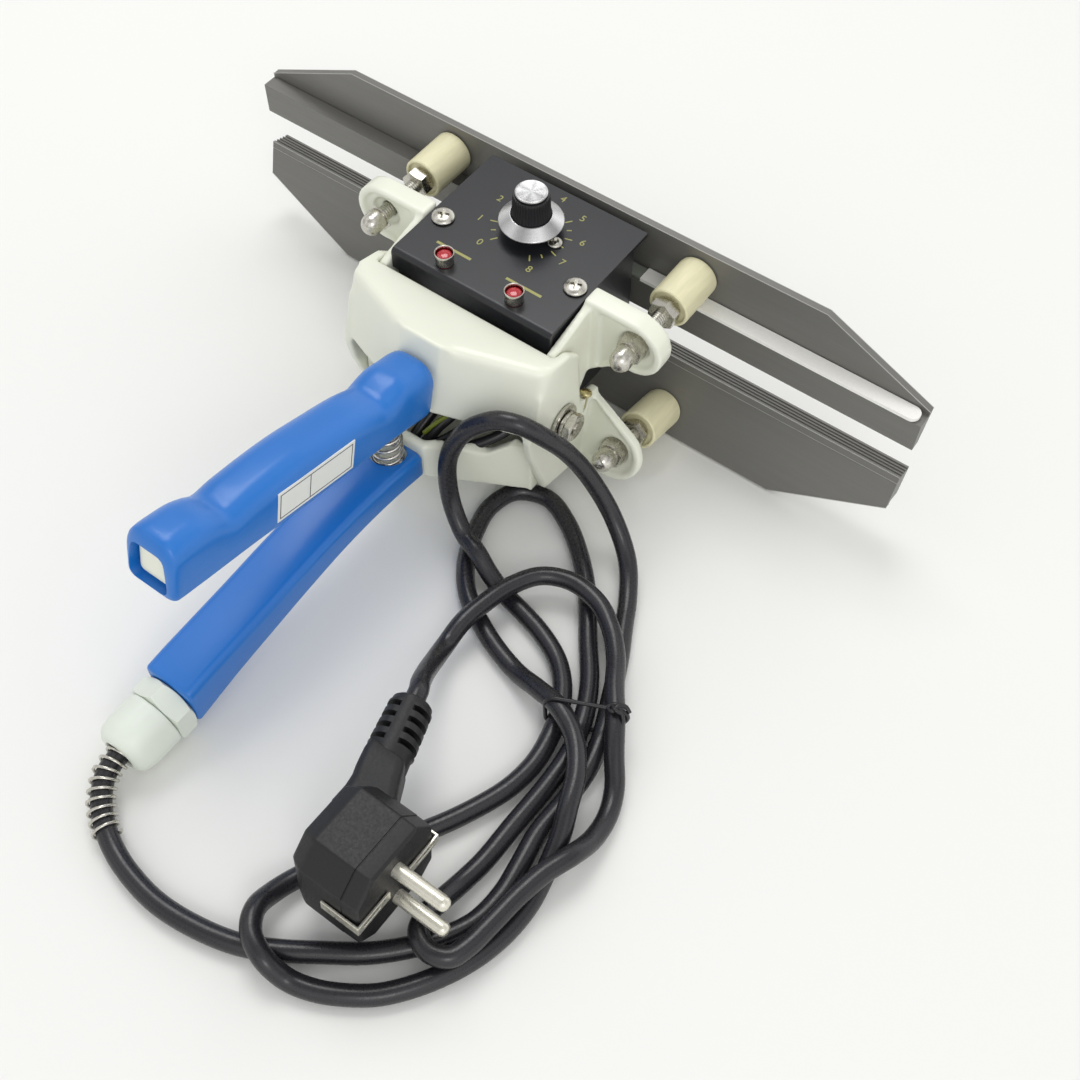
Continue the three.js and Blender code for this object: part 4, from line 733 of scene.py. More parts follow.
def add_grips():
    for level, shape in GRIP_SHAPES.items():
        bm = grip_skin(shape)
        bm = carve(bm, rod_between(*spring_ends(shape["arm"]), SPRING_HOLE))
        if level == "upper":
            bm = carve(bm, prism(fillet(MOUTH, MOUTH_CORNER), MOUTH_START, MOUTH_END, "Y"))
            bm = soften(bm, MOUTH_BEVEL, 50, 3)
        dress(f"{level}_grip_sleeve", bm, shape["arm"], GRIP, smooth=50, even=False)


# Label on the right side of the upper grip: blank, with a frame and a dividing line
LABEL_FACE = 9.9
LABEL_SINK = 0.3
LABEL_LENGTH = (-112, -76.5)
LABEL_HEIGHT = (6.6, 18.6)
LABEL_RISE = 0.12
LABEL_BEVEL = 0.08
LABEL_INSET = 1.0
LABEL_LINE = 0.35
LABEL_DIVIDE = -97.5
INK_RISE = 0.03


def side_bar(y0, y1, z0, z1, rise, bm=None):
    return box((LABEL_FACE - LABEL_SINK, y0, z0), (LABEL_FACE + rise, y1, z1), bm)


def add_label():
    (y0, y1), (z0, z1) = LABEL_LENGTH, LABEL_HEIGHT
    paper = side_bar(y0, y1, z0, z1, LABEL_RISE)
    place("blank_label", soften(paper, LABEL_BEVEL), UPPER, "upper_arm", LABEL, "gland")
    a0, a1, b0, b1 = y0 + LABEL_INSET, y1 - LABEL_INSET, z0 + LABEL_INSET, z1 - LABEL_INSET
    rise = LABEL_RISE + INK_RISE
    lines = shell()
    for low, high in ((b0, b0 + LABEL_LINE), (b1 - LABEL_LINE, b1)):
        side_bar(a0, a1, low, high, rise, lines)
    for at in (a0, LABEL_DIVIDE, a1 - LABEL_LINE):
        side_bar(at, at + LABEL_LINE, b0, b1, rise, lines)
    place("label_frame", lines, UPPER, "upper_arm", INK, "cord")


# Jaws and their heaters; the lower arm carries the upper jaw
JAW_ARMS = {"upper": LOWER, "lower": UPPER}
JAW_BEVEL = 0.22
JAW_PLANE = 2.72
JAW_FLARE = 15
JAW_HEIGHT = 35.2
JAW_HALF = 150
JAW_CUT = 44.4
JAW_SHEET = 2.6
JAW_STEP = 2.9
EDGE_RADIUS = 0.16
EDGE_LIFT = 0.02


def add_jaws():
    for level, arm in JAW_ARMS.items():
        dress(f"{level}_jaw", soften(copy_of(f"{level}_jaw", arm), JAW_BEVEL), arm, JAW)
    add_strips()
    add_jaw_edges()


# Heating strips: the bright end of the upper one shows; beside it a grey-green piece is painted shadow of the
# control box, and a dark piece in the jaw's colour is painted shade for the rest; both lie lower
STRIP_START = 35
STRIP_LAP = 0.7
STRIP_GAP = 0.3
STRIP_BEVEL = 0.12
SHADOW_START = 28
SHADOW_INSET = 0.4
SHADOW_BEVEL = 0.2
SHADE_DROP = 1.3
SHADE_BEVEL = 0.1


def add_strips():
    low, high = span("upper_heating_strip", LOWER)
    low.y -= STRIP_LAP
    high.z += STRIP_LAP * HALF
    middle_y, radius = (low.y + high.y) * HALF, (high.y - low.y) * HALF
    bright = [(STRIP_START, low.y)]
    for step in range(ROUND // 2 + 1):
        angle = (2 * step / ROUND * 2 - 1) * pi * HALF
        bright.append((high.x - radius * (1 - cos(angle)), middle_y + radius * sin(angle)))
    bright.append((STRIP_START, high.y))
    strip = soften(prism(bright, low.z, high.z, "Z"), STRIP_BEVEL, 50)
    dress("upper_heating_strip", strip, LOWER, STRIP)
    # Painted shadow: a grey-green piece where the control box shades the strip
    painted_shadow = box((SHADOW_START, low.y + SHADOW_INSET, low.z),
               (STRIP_START - STRIP_GAP, high.y - SHADOW_INSET, high.z - STRIP_GAP))
    place("heater_painted_shadow", soften(painted_shadow, SHADOW_BEVEL), LOWER, "lower_arm", STRIP_SHADOW, "zinc")
    # Painted shade: a dark bar in the jaw's colour where the rest of the strip lies in shade
    dark = box((low.x, low.y, low.z), (SHADOW_START - STRIP_GAP, high.y, high.z - SHADE_DROP))
    place("heater_painted_shade", soften(dark, SHADE_BEVEL), LOWER, "lower_arm", JAW, "jaw")
    strip = soften(copy_of("lower_heating_strip", UPPER), STRIP_BEVEL, 50)
    dress("lower_heating_strip", strip, UPPER, STRIP)


def add_jaw_edges():
    """Painted highlights: bright lines along the plates' edges and the lower bar's step."""
    for level, up in (("upper", 1), ("lower", -1)):
        arm = JAW_ARMS[level]
        low, high = span(f"{level}_jaw", arm)
        outline = [
            (-JAW_HALF, JAW_FLARE), (JAW_CUT - JAW_HALF, JAW_HEIGHT), (JAW_HALF - JAW_CUT, JAW_HEIGHT),
            (JAW_HALF, JAW_FLARE),
        ]
        lines = shell()
        for y in (high.y - JAW_SHEET, high.y) if up > 0 else (low.y, low.y + JAW_SHEET):
            tube([(x, y, JAW_PLANE + up * z) for x, z in outline], EDGE_RADIUS, 6, lines)
        if up < 0:
            for y, z in ((low.y, JAW_PLANE), (low.y + EDGE_LIFT, JAW_PLANE - JAW_STEP)):
                tube([(x, y, z) for x in (-JAW_HALF, 0, JAW_HALF)], EDGE_RADIUS, 6, lines)
        place(f"{level}_painted_jaw_highlights", lines, arm, BODY_OF[f"{level}_jaw"], JAW_HIGHLIGHT, "jaw", smooth=80, even=False)


# Fasteners: profiles are pairs of radius and run
EDGE_BEND = 0.3


def edged(radius, start, end, edge, hole=0.0):
    """Profile of a ring or rod with rounded edges, from the axis or from its hole."""
    bend = edge * EDGE_BEND
    outer = [
        (radius - edge, start), (radius - bend, start + bend), (radius, start + edge),
        (radius, end - edge), (radius - bend, end - bend), (radius - edge, end),
    ]
    return [(hole, start), *outer, (hole, end)]


def ring(radius, hole, start, end, edge, axis, centre=(0, 0)):
    profile = edged(radius, start, end, edge, hole)
    return lathe(profile, axis, centre, closed=hole > 0)


NUT_CHAMFER_SHARE = 0.3
NUT_FACE_SHARE = 0.97
NUT_CORNER_SHARE = 0.2


def hexagon(flats, start, end, axis, centre=(0, 0), turn=0.0, chamfer=0.6):
    """Hexagon with the round chamfer of a nut at both ends."""
    reach = flats / sqrt(3)
    outline = []
    for side in range(6):
        angle = turn + side * pi / 3
        outline.append((centre[0] + reach * cos(angle), centre[1] + reach * sin(angle)))
    body = prism(outline, start, end, axis)
    low = min(chamfer, (end - start) * NUT_CHAMFER_SHARE)
    face = flats * HALF * NUT_FACE_SHARE
    corner = reach + (reach - flats * HALF) * NUT_CORNER_SHARE
    cone = [(0, start), (face, start), (corner, start + low), (corner, end - low), (face, end), (0, end)]
    return common(body, lathe(cone, axis, centre))


THREAD_PITCH = 1
THREAD_DEPTH = 0.07
THREAD_STEPS = 6
LEAST_THREAD_STEPS = 8


def threaded(radius, start, end, axis, centre=(0, 0)):
    steps = max(int((end - start) / THREAD_PITCH * THREAD_STEPS), LEAST_THREAD_STEPS)
    runs = [start + (end - start) * step / steps for step in range(steps + 1)]

    def thread(angle, _, run):
        return 1 - THREAD_DEPTH * HALF * (1 + sin(2 * pi * run / THREAD_PITCH - angle))
    return lathe([(radius, run) for run in runs], axis, centre, FINE, wave=thread)


def merged(*skins):
    """Several closed skins in one mesh."""
    total = shell()
    for skin in skins:
        mesh = bpy.data.meshes.new("loose")
        skin.to_mesh(mesh)
        skin.free()
        total.from_mesh(mesh)
        bpy.data.meshes.remove(mesh)
    return total


# Insulators: the seat of the lock nut and the rounding of an end, as radius or inset and depth
INSULATOR_SEAT = [(3.4, 1.3), (6.3, 1.3), (6.6, 1), (6.7, 0.3), (7, 0)]
INSULATOR_EDGE = [(0.5, 0), (0.1, 0.35), (0, 0.9)]


def insulator(low, high, centre):
    radius = (high.x - low.x) * HALF
    edge = [(radius - inset, depth) for inset, depth in INSULATOR_EDGE]
    profile = raised(INSULATOR_SEAT, low.y) + raised(edge, low.y) + raised(edge[::-1], high.y, -1)
    return lathe([*profile, (INSULATOR_SEAT[0][0], high.y)], "Y", centre, closed=True)


LOCK_NUT_FLATS = 10
LOCK_NUT_HOLE = 3.2
NUT_TURNS = {"right": 0.35, "left": 0.9}
SPRING_WASHER = 1.5
SPRING_WASHER_SHARE = 0.47
WASHER_EDGE = 0.3


def add_jaw_mountings():
    for level, arm in JAW_ARMS.items():
        for side, turn in NUT_TURNS.items():
            prefix = f"{level}_{side}"
            low, high = span(f"{prefix}_insulator", arm)
            middle = (low + high) * HALF
            centre = (middle.x, middle.z)
            dress(f"{prefix}_insulator", insulator(low, high, centre), arm, CERAMIC)
            low, high = span(f"{prefix}_stud", arm)
            stud = threaded((high.x - low.x) * HALF, low.y, high.y, "Y", centre)
            dress(f"{prefix}_stud", stud, arm)
            low, high = span(f"{prefix}_lock_nut", arm)
            seat = high.y - SPRING_WASHER
            washer_radius = LOCK_NUT_FLATS * SPRING_WASHER_SHARE
            nut = merged(
                hexagon(LOCK_NUT_FLATS, low.y, seat, "Y", centre, turn),
                ring(washer_radius, LOCK_NUT_HOLE, seat, high.y, WASHER_EDGE, "Y", centre))
            dress(f"{prefix}_lock_nut", nut, arm)
            low, high = span(f"{prefix}_acorn_nut", arm)
            dress(f"{prefix}_acorn_nut", acorn(low.y, high.y, centre, turn), arm, smooth=40)
            dress(f"{prefix}_jaw_screw", jaw_screw(prefix, arm, centre), arm)


ACORN_FLATS = 9.4
ACORN_HEX = 6
ACORN_DOME = 4.15
ACORN_STEPS = 8
# The neck between the dome and the hexagon: share of the dome's radius and run from the hexagon
ACORN_NECK = [(1, -0.5), (0.93, -0.2), (0.93, 0.5), (0, 0.5)]


def acorn(start, end, centre, turn):
    hex_start = end - ACORN_HEX
    dome = [(0, start)]
    for angle in arc(ACORN_STEPS):
        dome.append((ACORN_DOME * sin(angle), start + ACORN_DOME * (1 - cos(angle))))
    dome += [(ACORN_DOME * share, hex_start + run) for share, run in ACORN_NECK]
    return merged(lathe(dome, "Y", centre), hexagon(ACORN_FLATS, hex_start, end, "Y", centre, turn))


# Cross recess: share of the head's radius and half width at its bottom and top
RECESS_BOTTOM = (0.3, 0.35)
RECESS_TOP = (0.66, 0.66)
RECESS_OVER = 0.4
RECESS_TURN = 0.4


def cross_recess(radius, top, depth, axis, centre):
    """Cutter for a cross in a screw's head; it narrows toward its bottom."""
    cutters = []
    for quarter in (0, 1):
        angle = RECESS_TURN + quarter * pi * HALF
        along = Vector((cos(angle), sin(angle)))
        across = Vector((-along.y, along.x))
        rings = []
        for (share, width), run in ((RECESS_BOTTOM, top - depth), (RECESS_TOP, top + RECESS_OVER)):
            reach = radius * share
            corners = ((1, 1), (-1, 1), (-1, -1), (1, -1))
            flat = [along * reach * a + across * width * b + Vector(centre) for a, b in corners]
            rings.append([AXES[axis](point.x, point.y, run) for point in flat])
        cutters.append(add_rings(shell(), rings))
    return cutters


# Jaw screw: its tip from the low end, and its cone and rim below the head's face
JAW_SCREW_TIP = [(0, 0), (2.4, 0.3)]
JAW_SCREW_CONE = [(2.6, 2.1)]
JAW_SCREW_RIM = 0.25
JAW_SCREW_DEPTH = 1.6


def jaw_screw(prefix, arm, centre):
    low, high = span(f"{prefix}_jaw_screw", arm)
    radius = (high.x - low.x) * HALF
    head = [*JAW_SCREW_CONE, (radius, JAW_SCREW_RIM), (radius, 0), (0, 0)]
    screw = lathe(raised(JAW_SCREW_TIP, low.y) + raised(head, high.y, -1), "Y", centre)
    return carve(screw, *cross_recess(radius, high.y, JAW_SCREW_DEPTH, "Y", centre))


# Screws with a domed head; the shares are of its radius, height or turn
HEAD_HEIGHTS = {"right_cover_screw": 2, "left_cover_screw": 2, "dial_screw": 1.4, "earth_screw": 1.8}
HEAD_STEPS = 6
HEAD_RIM = 0.25
HEAD_SEAT_SHARE = 0.97
HEAD_TURN_SHARE = 0.98
SHANK_SHARE = 0.34
CROSS_DEPTH_SHARE = 0.75
EARTH_SLOT_TURN = 0.5
EARTH_SLOT_HALF = 0.35


def pan_screw(node, arm, cross=True):
    """Screw with a domed head, its head at the high end."""
    low, high = span(node, arm)
    centre = ((low.x + high.x) * HALF, (low.y + high.y) * HALF)
    radius = (high.x - low.x) * HALF
    height = HEAD_HEIGHTS[node]
    seat = high.z - height
    shank = radius * SHANK_SHARE
    head = [
        (0, low.z), (shank, low.z), (shank, seat), (radius * HEAD_SEAT_SHARE, seat),
        (radius, seat + height * HEAD_RIM),
    ]
    for angle in arc(HEAD_STEPS):
        rise = HEAD_RIM + (1 - HEAD_RIM) * sin(angle)
        head.append((radius * cos(angle * HEAD_TURN_SHARE), seat + height * rise))
    screw = lathe(head, "Z", centre)
    if cross:
        return carve(screw, *cross_recess(radius, high.z, height * CROSS_DEPTH_SHARE, "Z", centre))
    slot = box((-radius, -EARTH_SLOT_HALF, high.z - height * HALF), (radius, EARTH_SLOT_HALF, high.z + 1))
    slot.transform(Matrix.Translation((*centre, 0)) @ Matrix.Rotation(EARTH_SLOT_TURN, 4, "Z"))
    return carve(screw, slot)


def add_screws():
    for node in ("right_cover_screw", "left_cover_screw", "dial_screw"):
        dress(node, pan_screw(node, LOWER), LOWER)
    dress("earth_screw", pan_screw("earth_screw", UPPER, cross=False), UPPER)


# Hinge bolts, washers and nuts, mirrored from the right side to the left
HINGE_HEAD_RADIUS = 4.5
HINGE_HEAD_HEIGHT = 3.2
HINGE_HEAD_EDGE = 0.4
HINGE_SHANK_RADIUS = 3
HINGE_SHANK_START = 2.4
HINGE_HOLE = 3.3
HINGE_WASHER_RADIUS = 7.2
HINGE_SPRING_RADIUS = 5.2
HINGE_NUT_FLATS = 10
HINGE_NUT_TURN = 0.3


def add_hinge():
    for side, sign in (("right", 1), ("left", -1)):
        def run(node):
            low, high = span(f"{side}_hinge_{node}", LOWER)
            return sorted((low.x * sign, high.x * sign))
        start, end = run("bolt")
        bolt = merged(
            ring(HINGE_HEAD_RADIUS, 0, start, start + HINGE_HEAD_HEIGHT, HINGE_HEAD_EDGE, "X"),
            threaded(HINGE_SHANK_RADIUS, start + HINGE_SHANK_START, end, "X"))
        start, end = run("washer")
        washer = ring(HINGE_WASHER_RADIUS, HINGE_HOLE, start, end, WASHER_EDGE, "X")
        start, end = run("nut")
        seat = start + SPRING_WASHER
        nut = merged(
            ring(HINGE_SPRING_RADIUS, HINGE_HOLE, start, seat, WASHER_EDGE, "X"),
            hexagon(HINGE_NUT_FLATS, seat, end, "X", turn=HINGE_NUT_TURN))
        for name, bm in (("bolt", bolt), ("washer", washer), ("nut", nut)):
            bm.transform(Matrix.Scale(sign, 4, (1, 0, 0)))
            dress(f"{side}_hinge_{name}", bm, LOWER, smooth=40)


# Control box, its cover and what sits on it
COVER_TOP = 37
COVER_SHEET = 1.6
COVER_BEND = 2.2
COVER_BEVEL = 0.18
BOX_BEVEL = 0.3
LAMP_X = 15.06
LAMP_Y = 8.98
COVER_HOLES = [(0, KNOB_Y, 4.7), (LAMP_X, LAMP_Y, 3.2), (-LAMP_X, LAMP_Y, 3.2)]
HOLE_REACH = 5


def add_box():
    low, high = span("control_box_cover", LOWER)
    under = COVER_TOP - COVER_SHEET
    outside = [(low.y, low.z), (low.y, COVER_TOP), (high.y, COVER_TOP)]
    inside = [(high.y, under), (low.y + COVER_SHEET, under), (low.y + COVER_SHEET, low.z)]
    outline = fillet(outside, COVER_BEND, 6, closed=False)
    outline += fillet(inside, COVER_BEND - COVER_SHEET, 6, closed=False)
    cover = prism(outline, low.x, high.x, "X")
    for x, y, radius in COVER_HOLES:
        drill = [(radius, COVER_TOP - HOLE_REACH), (radius, COVER_TOP + HOLE_REACH)]
        cover = carve(cover, lathe(drill, "Z", (x, y)))
    dress("control_box_cover", soften(cover, COVER_BEVEL, 50), LOWER, PANEL)
    dress("control_box", soften(copy_of("control_box", LOWER), BOX_BEVEL), LOWER, PANEL)


# Lamps: the bezel from the panel up, and the lens from its top down
BEZEL_BASE = 0.3
BEZEL_PROFILE = [
    (3.15, 0), (3.3, 0), (3.35, 0.3), (3.35, 3), (3.6, 3.4), (3.65, 4.2), (3.55, 4.5), (3.3, 4.6),
    (3.1, 4.4), (3.05, 3.9), (3.15, 3.6),
]
LENS_RADIUS = 2.85
LENS_DOME = [(2.9, 0.9), (2.5, 0.45), (1.6, 0.1), (0, 0)]


def add_lamps():
    for side, sign in (("right", 1), ("left", -1)):
        centre = (sign * LAMP_X, LAMP_Y)
        bezel = lathe(raised(BEZEL_PROFILE, COVER_TOP + BEZEL_BASE), "Z", centre, closed=True)
        dress(f"{side}_lamp_bezel", bezel, LOWER, smooth=40)
        low, high = span(f"{side}_lamp", LOWER)
        lens = [(0, low.z), (LENS_RADIUS, low.z), *raised(LENS_DOME, high.z, -1)]
        dress(f"{side}_lamp", lathe(lens, "Z", centre), LOWER, LENS, smooth=60)


# Knob: profiles from the base, from the skirt's top, and down from the knob's top
FLUTES = 40
FLUTE_DEPTH = 0.022
FLUTE_ENDS = (0.2, 0.3)
KNOB_SIDES = 200
SKIRT_SIDES = 96
KNOB_RADIUS = 7.2
KNOB_WAIST = [(7.2, -0.3), (7.2, 0), (7, 2)]
KNOB_CROWN = [(6.7, 1.2), (6.6, 0.4), (6.35, 0), (0, 0)]
SKIRT_FOOT = [(7.5, 0), (11.4, 0), (11.75, 0.15), (11.8, 0.5), (11.6, 0.8)]
SKIRT_CROWN = [(8, 0.1), (7.8, 0), (7.5, 0)]
CAP_FOOT = [(0, 0), (5.6, 0), (5.8, 0.25)]
CAP_CROWN = [(5.8, 0.25), (5.65, 0.05), (5.45, 0), (5.2, 0), (5.1, 0.12), (0, 0.12)]


def add_knob():
    low, high = span("knob_body", LOWER)
    base, top = low.z, high.z
    skirt_top = span("knob_skirt", LOWER)[1].z
    centre = (0, KNOB_Y)

    def flutes(angle, _, run):
        if run < skirt_top - FLUTE_ENDS[0] or run > top - FLUTE_ENDS[1]:
            return 1
        return 1 - FLUTE_DEPTH * (1 + cos(FLUTES * angle))
    body = [(0, base), (KNOB_RADIUS, base), *raised(KNOB_WAIST, skirt_top), *raised(KNOB_CROWN, top, -1)]
    dress("knob_body", lathe(body, "Z", centre, KNOB_SIDES, wave=flutes), LOWER, BLACK, smooth=50)
    skirt = raised(SKIRT_FOOT, base) + raised(SKIRT_CROWN, skirt_top, -1)
    dress("knob_skirt", lathe(skirt, "Z", centre, SKIRT_SIDES, closed=True), LOWER, ALUMINIUM, smooth=60)
    low, high = span("knob_cap", LOWER)
    cap = raised(CAP_FOOT, low.z) + raised(CAP_CROWN, high.z, -1)
    dress("knob_cap", lathe(cap, "Z", centre, SKIRT_SIDES), LOWER, ALUMINIUM, smooth=60)


# Dial print: numbers 0 to 8 in a ring round the knob, and ticks inside them
DIAL_RADIUS = 19.3
DIAL_START = -125.4
DIAL_STEP = -36.4
DIGITS = 9
DIGIT_SIZE = 4.2
TICK_START = 12.6
TICK_LONG = 15.4
TICK_SHORT = 14.4
TICK_WIDTH = 0.5
PRINT_DEPTH = 0.03
LAMP_MARKS = [(-16, 15.3), (14.2, 15.6)]
LAMP_MARK_LENGTH = 15
LAMP_MARK_WIDTH = 1.1


def printed(text, x, y):
    data = bpy.data.curves.new("print", "FONT")
    data.body = text
    data.size = DIGIT_SIZE
    data.align_x = "CENTER"
    data.align_y = "CENTER"
    data.extrude = PRINT_DEPTH
    bm = skin_of(new_object("print", data))
    bm.transform(Matrix.Translation((x, y, COVER_TOP + PRINT_DEPTH * HALF)))
    return bm


def flat_bar(length, width, x, y, turn):
    bar = box((-length * HALF, -width * HALF, 0), (length * HALF, width * HALF, PRINT_DEPTH))
    bar.transform(Matrix.Translation((x, y, COVER_TOP)) @ Matrix.Rotation(turn, 4, "Z"))
    return bar


def add_print():
    marks = []
    for digit in range(DIGITS):
        angle = radians(DIAL_START + DIAL_STEP * digit)
        x = DIAL_RADIUS * cos(angle)
        y = KNOB_Y + DIAL_RADIUS * sin(angle)
        marks.append(printed(str(digit), x, y))
        for part, reach in ((0, TICK_LONG), (HALF, TICK_SHORT)):
            if digit == DIGITS - 1 and part:
                continue
            turn = angle + radians(DIAL_STEP * part)
            run = (TICK_START + reach) * HALF
            marks.append(flat_bar(
                reach - TICK_START, TICK_WIDTH, run * cos(turn), KNOB_Y + run * sin(turn), turn))
    for x, y in LAMP_MARKS:
        marks.append(flat_bar(LAMP_MARK_LENGTH, LAMP_MARK_WIDTH, x, y, 0))
    place("dial_print", merged(*marks), LOWER, "lower_arm", MARKS, "panel", smooth=20)


# Handle spring: wound wire between the arms
SPRING_RADIUS = 5.2
SPRING_WIRE = 0.65
SPRING_END = 0.3
SPRING_EASE = 0.035
SPRING_TURNS = 7
SPRING_STEPS = 28


def add_handle_spring():
    foot, head = LOWER @ Vector(SPRING_FOOT), UPPER @ Vector(SPRING_HEAD)
    axis = (head - foot) / MM
    turn = Vector((0, 0, 1)).rotation_difference(axis)
    height = axis.length - 2 * (SPRING_WIRE + SPRING_END)
    steps = SPRING_TURNS * SPRING_STEPS
    points = []
    for step in range(steps + 1):
        share = step / steps
        eased = share - SPRING_EASE * sin(2 * pi * share)
        angle = 2 * pi * step / SPRING_STEPS
        rise = SPRING_WIRE + SPRING_END + height * eased
        points.append(turn @ Vector((SPRING_RADIUS * cos(angle), SPRING_RADIUS * sin(angle), rise)))
    bm = tube(points, SPRING_WIRE, 10)
    bm.transform(Matrix.Translation(foot) @ Matrix.Scale(MM, 4))
    made = loose_object(bm, "handle_spring_wire")
    made.data.materials.append(STEEL)
    made.data.polygons.foreach_set("use_smooth", [True] * len(made.data.polygons))
    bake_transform(made)
    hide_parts("handle_spring")


# Cable gland: a hexagon before a collar, and a domed nut
GLAND_FLATS = 20
GLAND_HEX = 7.6
GLAND_CHAMFER = 1.2
GLAND_COLLAR = 7
GLAND_EDGE = 0.4
GLAND_RIBS = 6
GLAND_RIB_DEPTH = 0.035
GLAND_SIDES = 96
NUT_RADIUS = 11
NUT_MOUTH = 6.4
NUT_SHOULDER = 9
NUT_STEPS = 8
NUT_BACK = [(5, 1), (5.2, 0), (10.5, 0), (10.9, 0.4), (11, 1)]
NUT_LIP = [(5.6, 0), (5.2, 0.5), (5.2, 3)]
# The flats start beyond this radius, and end this far in front of the shoulder
NUT_PLAIN = (8, 4)


def add_gland():
    low, high = span("gland_body", LOWER)
    centre = (0, (low.z + high.z) * HALF)
    start = high.y - GLAND_HEX
    body = merged(
        hexagon(GLAND_FLATS, start, high.y, "Y", centre, pi / 6, GLAND_CHAMFER),
        ring(GLAND_COLLAR, 0, low.y, start + 1, GLAND_EDGE, "Y", centre))
    dress("gland_body", body, LOWER, GLAND)
    low, high = span("gland_nut", LOWER)
    shoulder = high.y - NUT_SHOULDER
    profile = raised(NUT_BACK, high.y, -1) + [(NUT_RADIUS, shoulder + 2), (NUT_RADIUS, shoulder)]
    for angle in arc(NUT_STEPS):
        reach = NUT_MOUTH + (NUT_RADIUS - NUT_MOUTH) * cos(angle)
        profile.append((reach, shoulder - (shoulder - low.y) * sin(angle)))
    profile += raised(NUT_LIP, low.y)

    def flats(angle, reach, run):
        if reach < NUT_PLAIN[0] or run < shoulder - NUT_PLAIN[1]:
            return 1
        return 1 - GLAND_RIB_DEPTH * (1 - abs(cos(GLAND_RIBS * HALF * angle)))
    nut = lathe(profile, "Y", centre, GLAND_SIDES, closed=True, wave=flats)
    dress("gland_nut", nut, LOWER, GLAND, smooth=35)


# Spring round the cord
RELIEF_RADIUS = 4.25
RELIEF_WIRE = 0.55
RELIEF_TURNS = 10
RELIEF_PITCH = 3.1
RELIEF_STEPS = 20


def along_cord(run):
    """Point and direction at a distance along the cord."""
    for here, ahead in zip(CORD_LINE, CORD_LINE[1:]):
        step = (ahead - here).length
        if run <= step:
            return here.lerp(ahead, run / step), (ahead - here).normalized()
        run -= step
    return CORD_LINE[-1], (CORD_LINE[-1] - CORD_LINE[-2]).normalized()


def add_relief_spring():
    start = max(CORD_LINE[0].y - span("strain_relief_spring", TABLE)[1].y, 0)
    across = Vector((1, 0, 0))
    points = []
    steps = RELIEF_TURNS * RELIEF_STEPS
    for step in range(steps + 1):
        here, along = along_cord(start + RELIEF_TURNS * RELIEF_PITCH * step / steps)
        across = (across - along * across.dot(along)).normalized()
        angle = 2 * pi * step / RELIEF_STEPS
        out = across * cos(angle) + along.cross(across) * sin(angle)
        points.append(here + RELIEF_RADIUS * out)
    dress("strain_relief_spring", tube(points, RELIEF_WIRE, 8), TABLE, STEEL, smooth=80)


# Plug: pins along +X, cord toward +Y
PLUG = Matrix.Translation(Vector((101, -108.6, 26.4)) * MM) @ Matrix.Scale(MM, 4)
PLUG_HALF_WIDTH = 17.2
PLUG_HALF_HEIGHT = 19
PLUG_TOP_CUT = (7, 11)
PLUG_NEAR_CUT = (7, 8)
PLUG_LOW_CUT = 6
PLUG_CORNER = 1.5
PLUG_PROFILE = [
    (0, 0.94), (-0.4, 0.965), (-1, 0.985), (-5.6, 0.995), (-5.75, 0.985), (-6, 0.985), (-6.15, 1), (-20, 1),
    (-20.8, 0.995), (-22, 0.97), (-24.6, 0.89), (-25.6, 0.85), (-26, 0.81), (-26.2, 0.75),
]


def plug_outline(share):
    w, h, low = PLUG_HALF_WIDTH, PLUG_HALF_HEIGHT, PLUG_LOW_CUT
    (across, down), (near_across, near_down) = PLUG_TOP_CUT, PLUG_NEAR_CUT
    corners = [
        (w, low - h), (w, h - down), (w - across, h), (near_across - w, h), (-w, h - near_down),
        (-w, low - h), (low - w, -h), (w - low, -h),
    ]
    return fillet([(y * share, z * share) for y, z in corners], PLUG_CORNER * share, 4)


# Tail of the plug: a plain start, then ribs that are cut into two sides, then a collar
TAIL_FROM = (-24.5, 19)
TAIL_TO = (-33.5, 49)
TAIL_RADIUS = (7.6, 6.7)
TAIL_SIDES = 64
TAIL_ROOT = [-9, -4, 0, 4, 8]
TAIL_PLAIN_SHARE = 0.42
TAIL_COLLAR = 1.6
TAIL_EDGE = 0.6
TAIL_PLAY = 0.1
TAIL_DISH = 0.4
TAIL_RIBS = 4
RIB_RUNS = (0, 0.06, 0.14, 0.46, 0.54, 0.62, 0.8)
RIB_CUT = (0.1, 0.5)
RIB_CUT_DEPTH = 0.38
RIB_SWELL = 0.08
RIB_SIDE = (0.3, 0.25)
RIB_MARGIN = 0.1


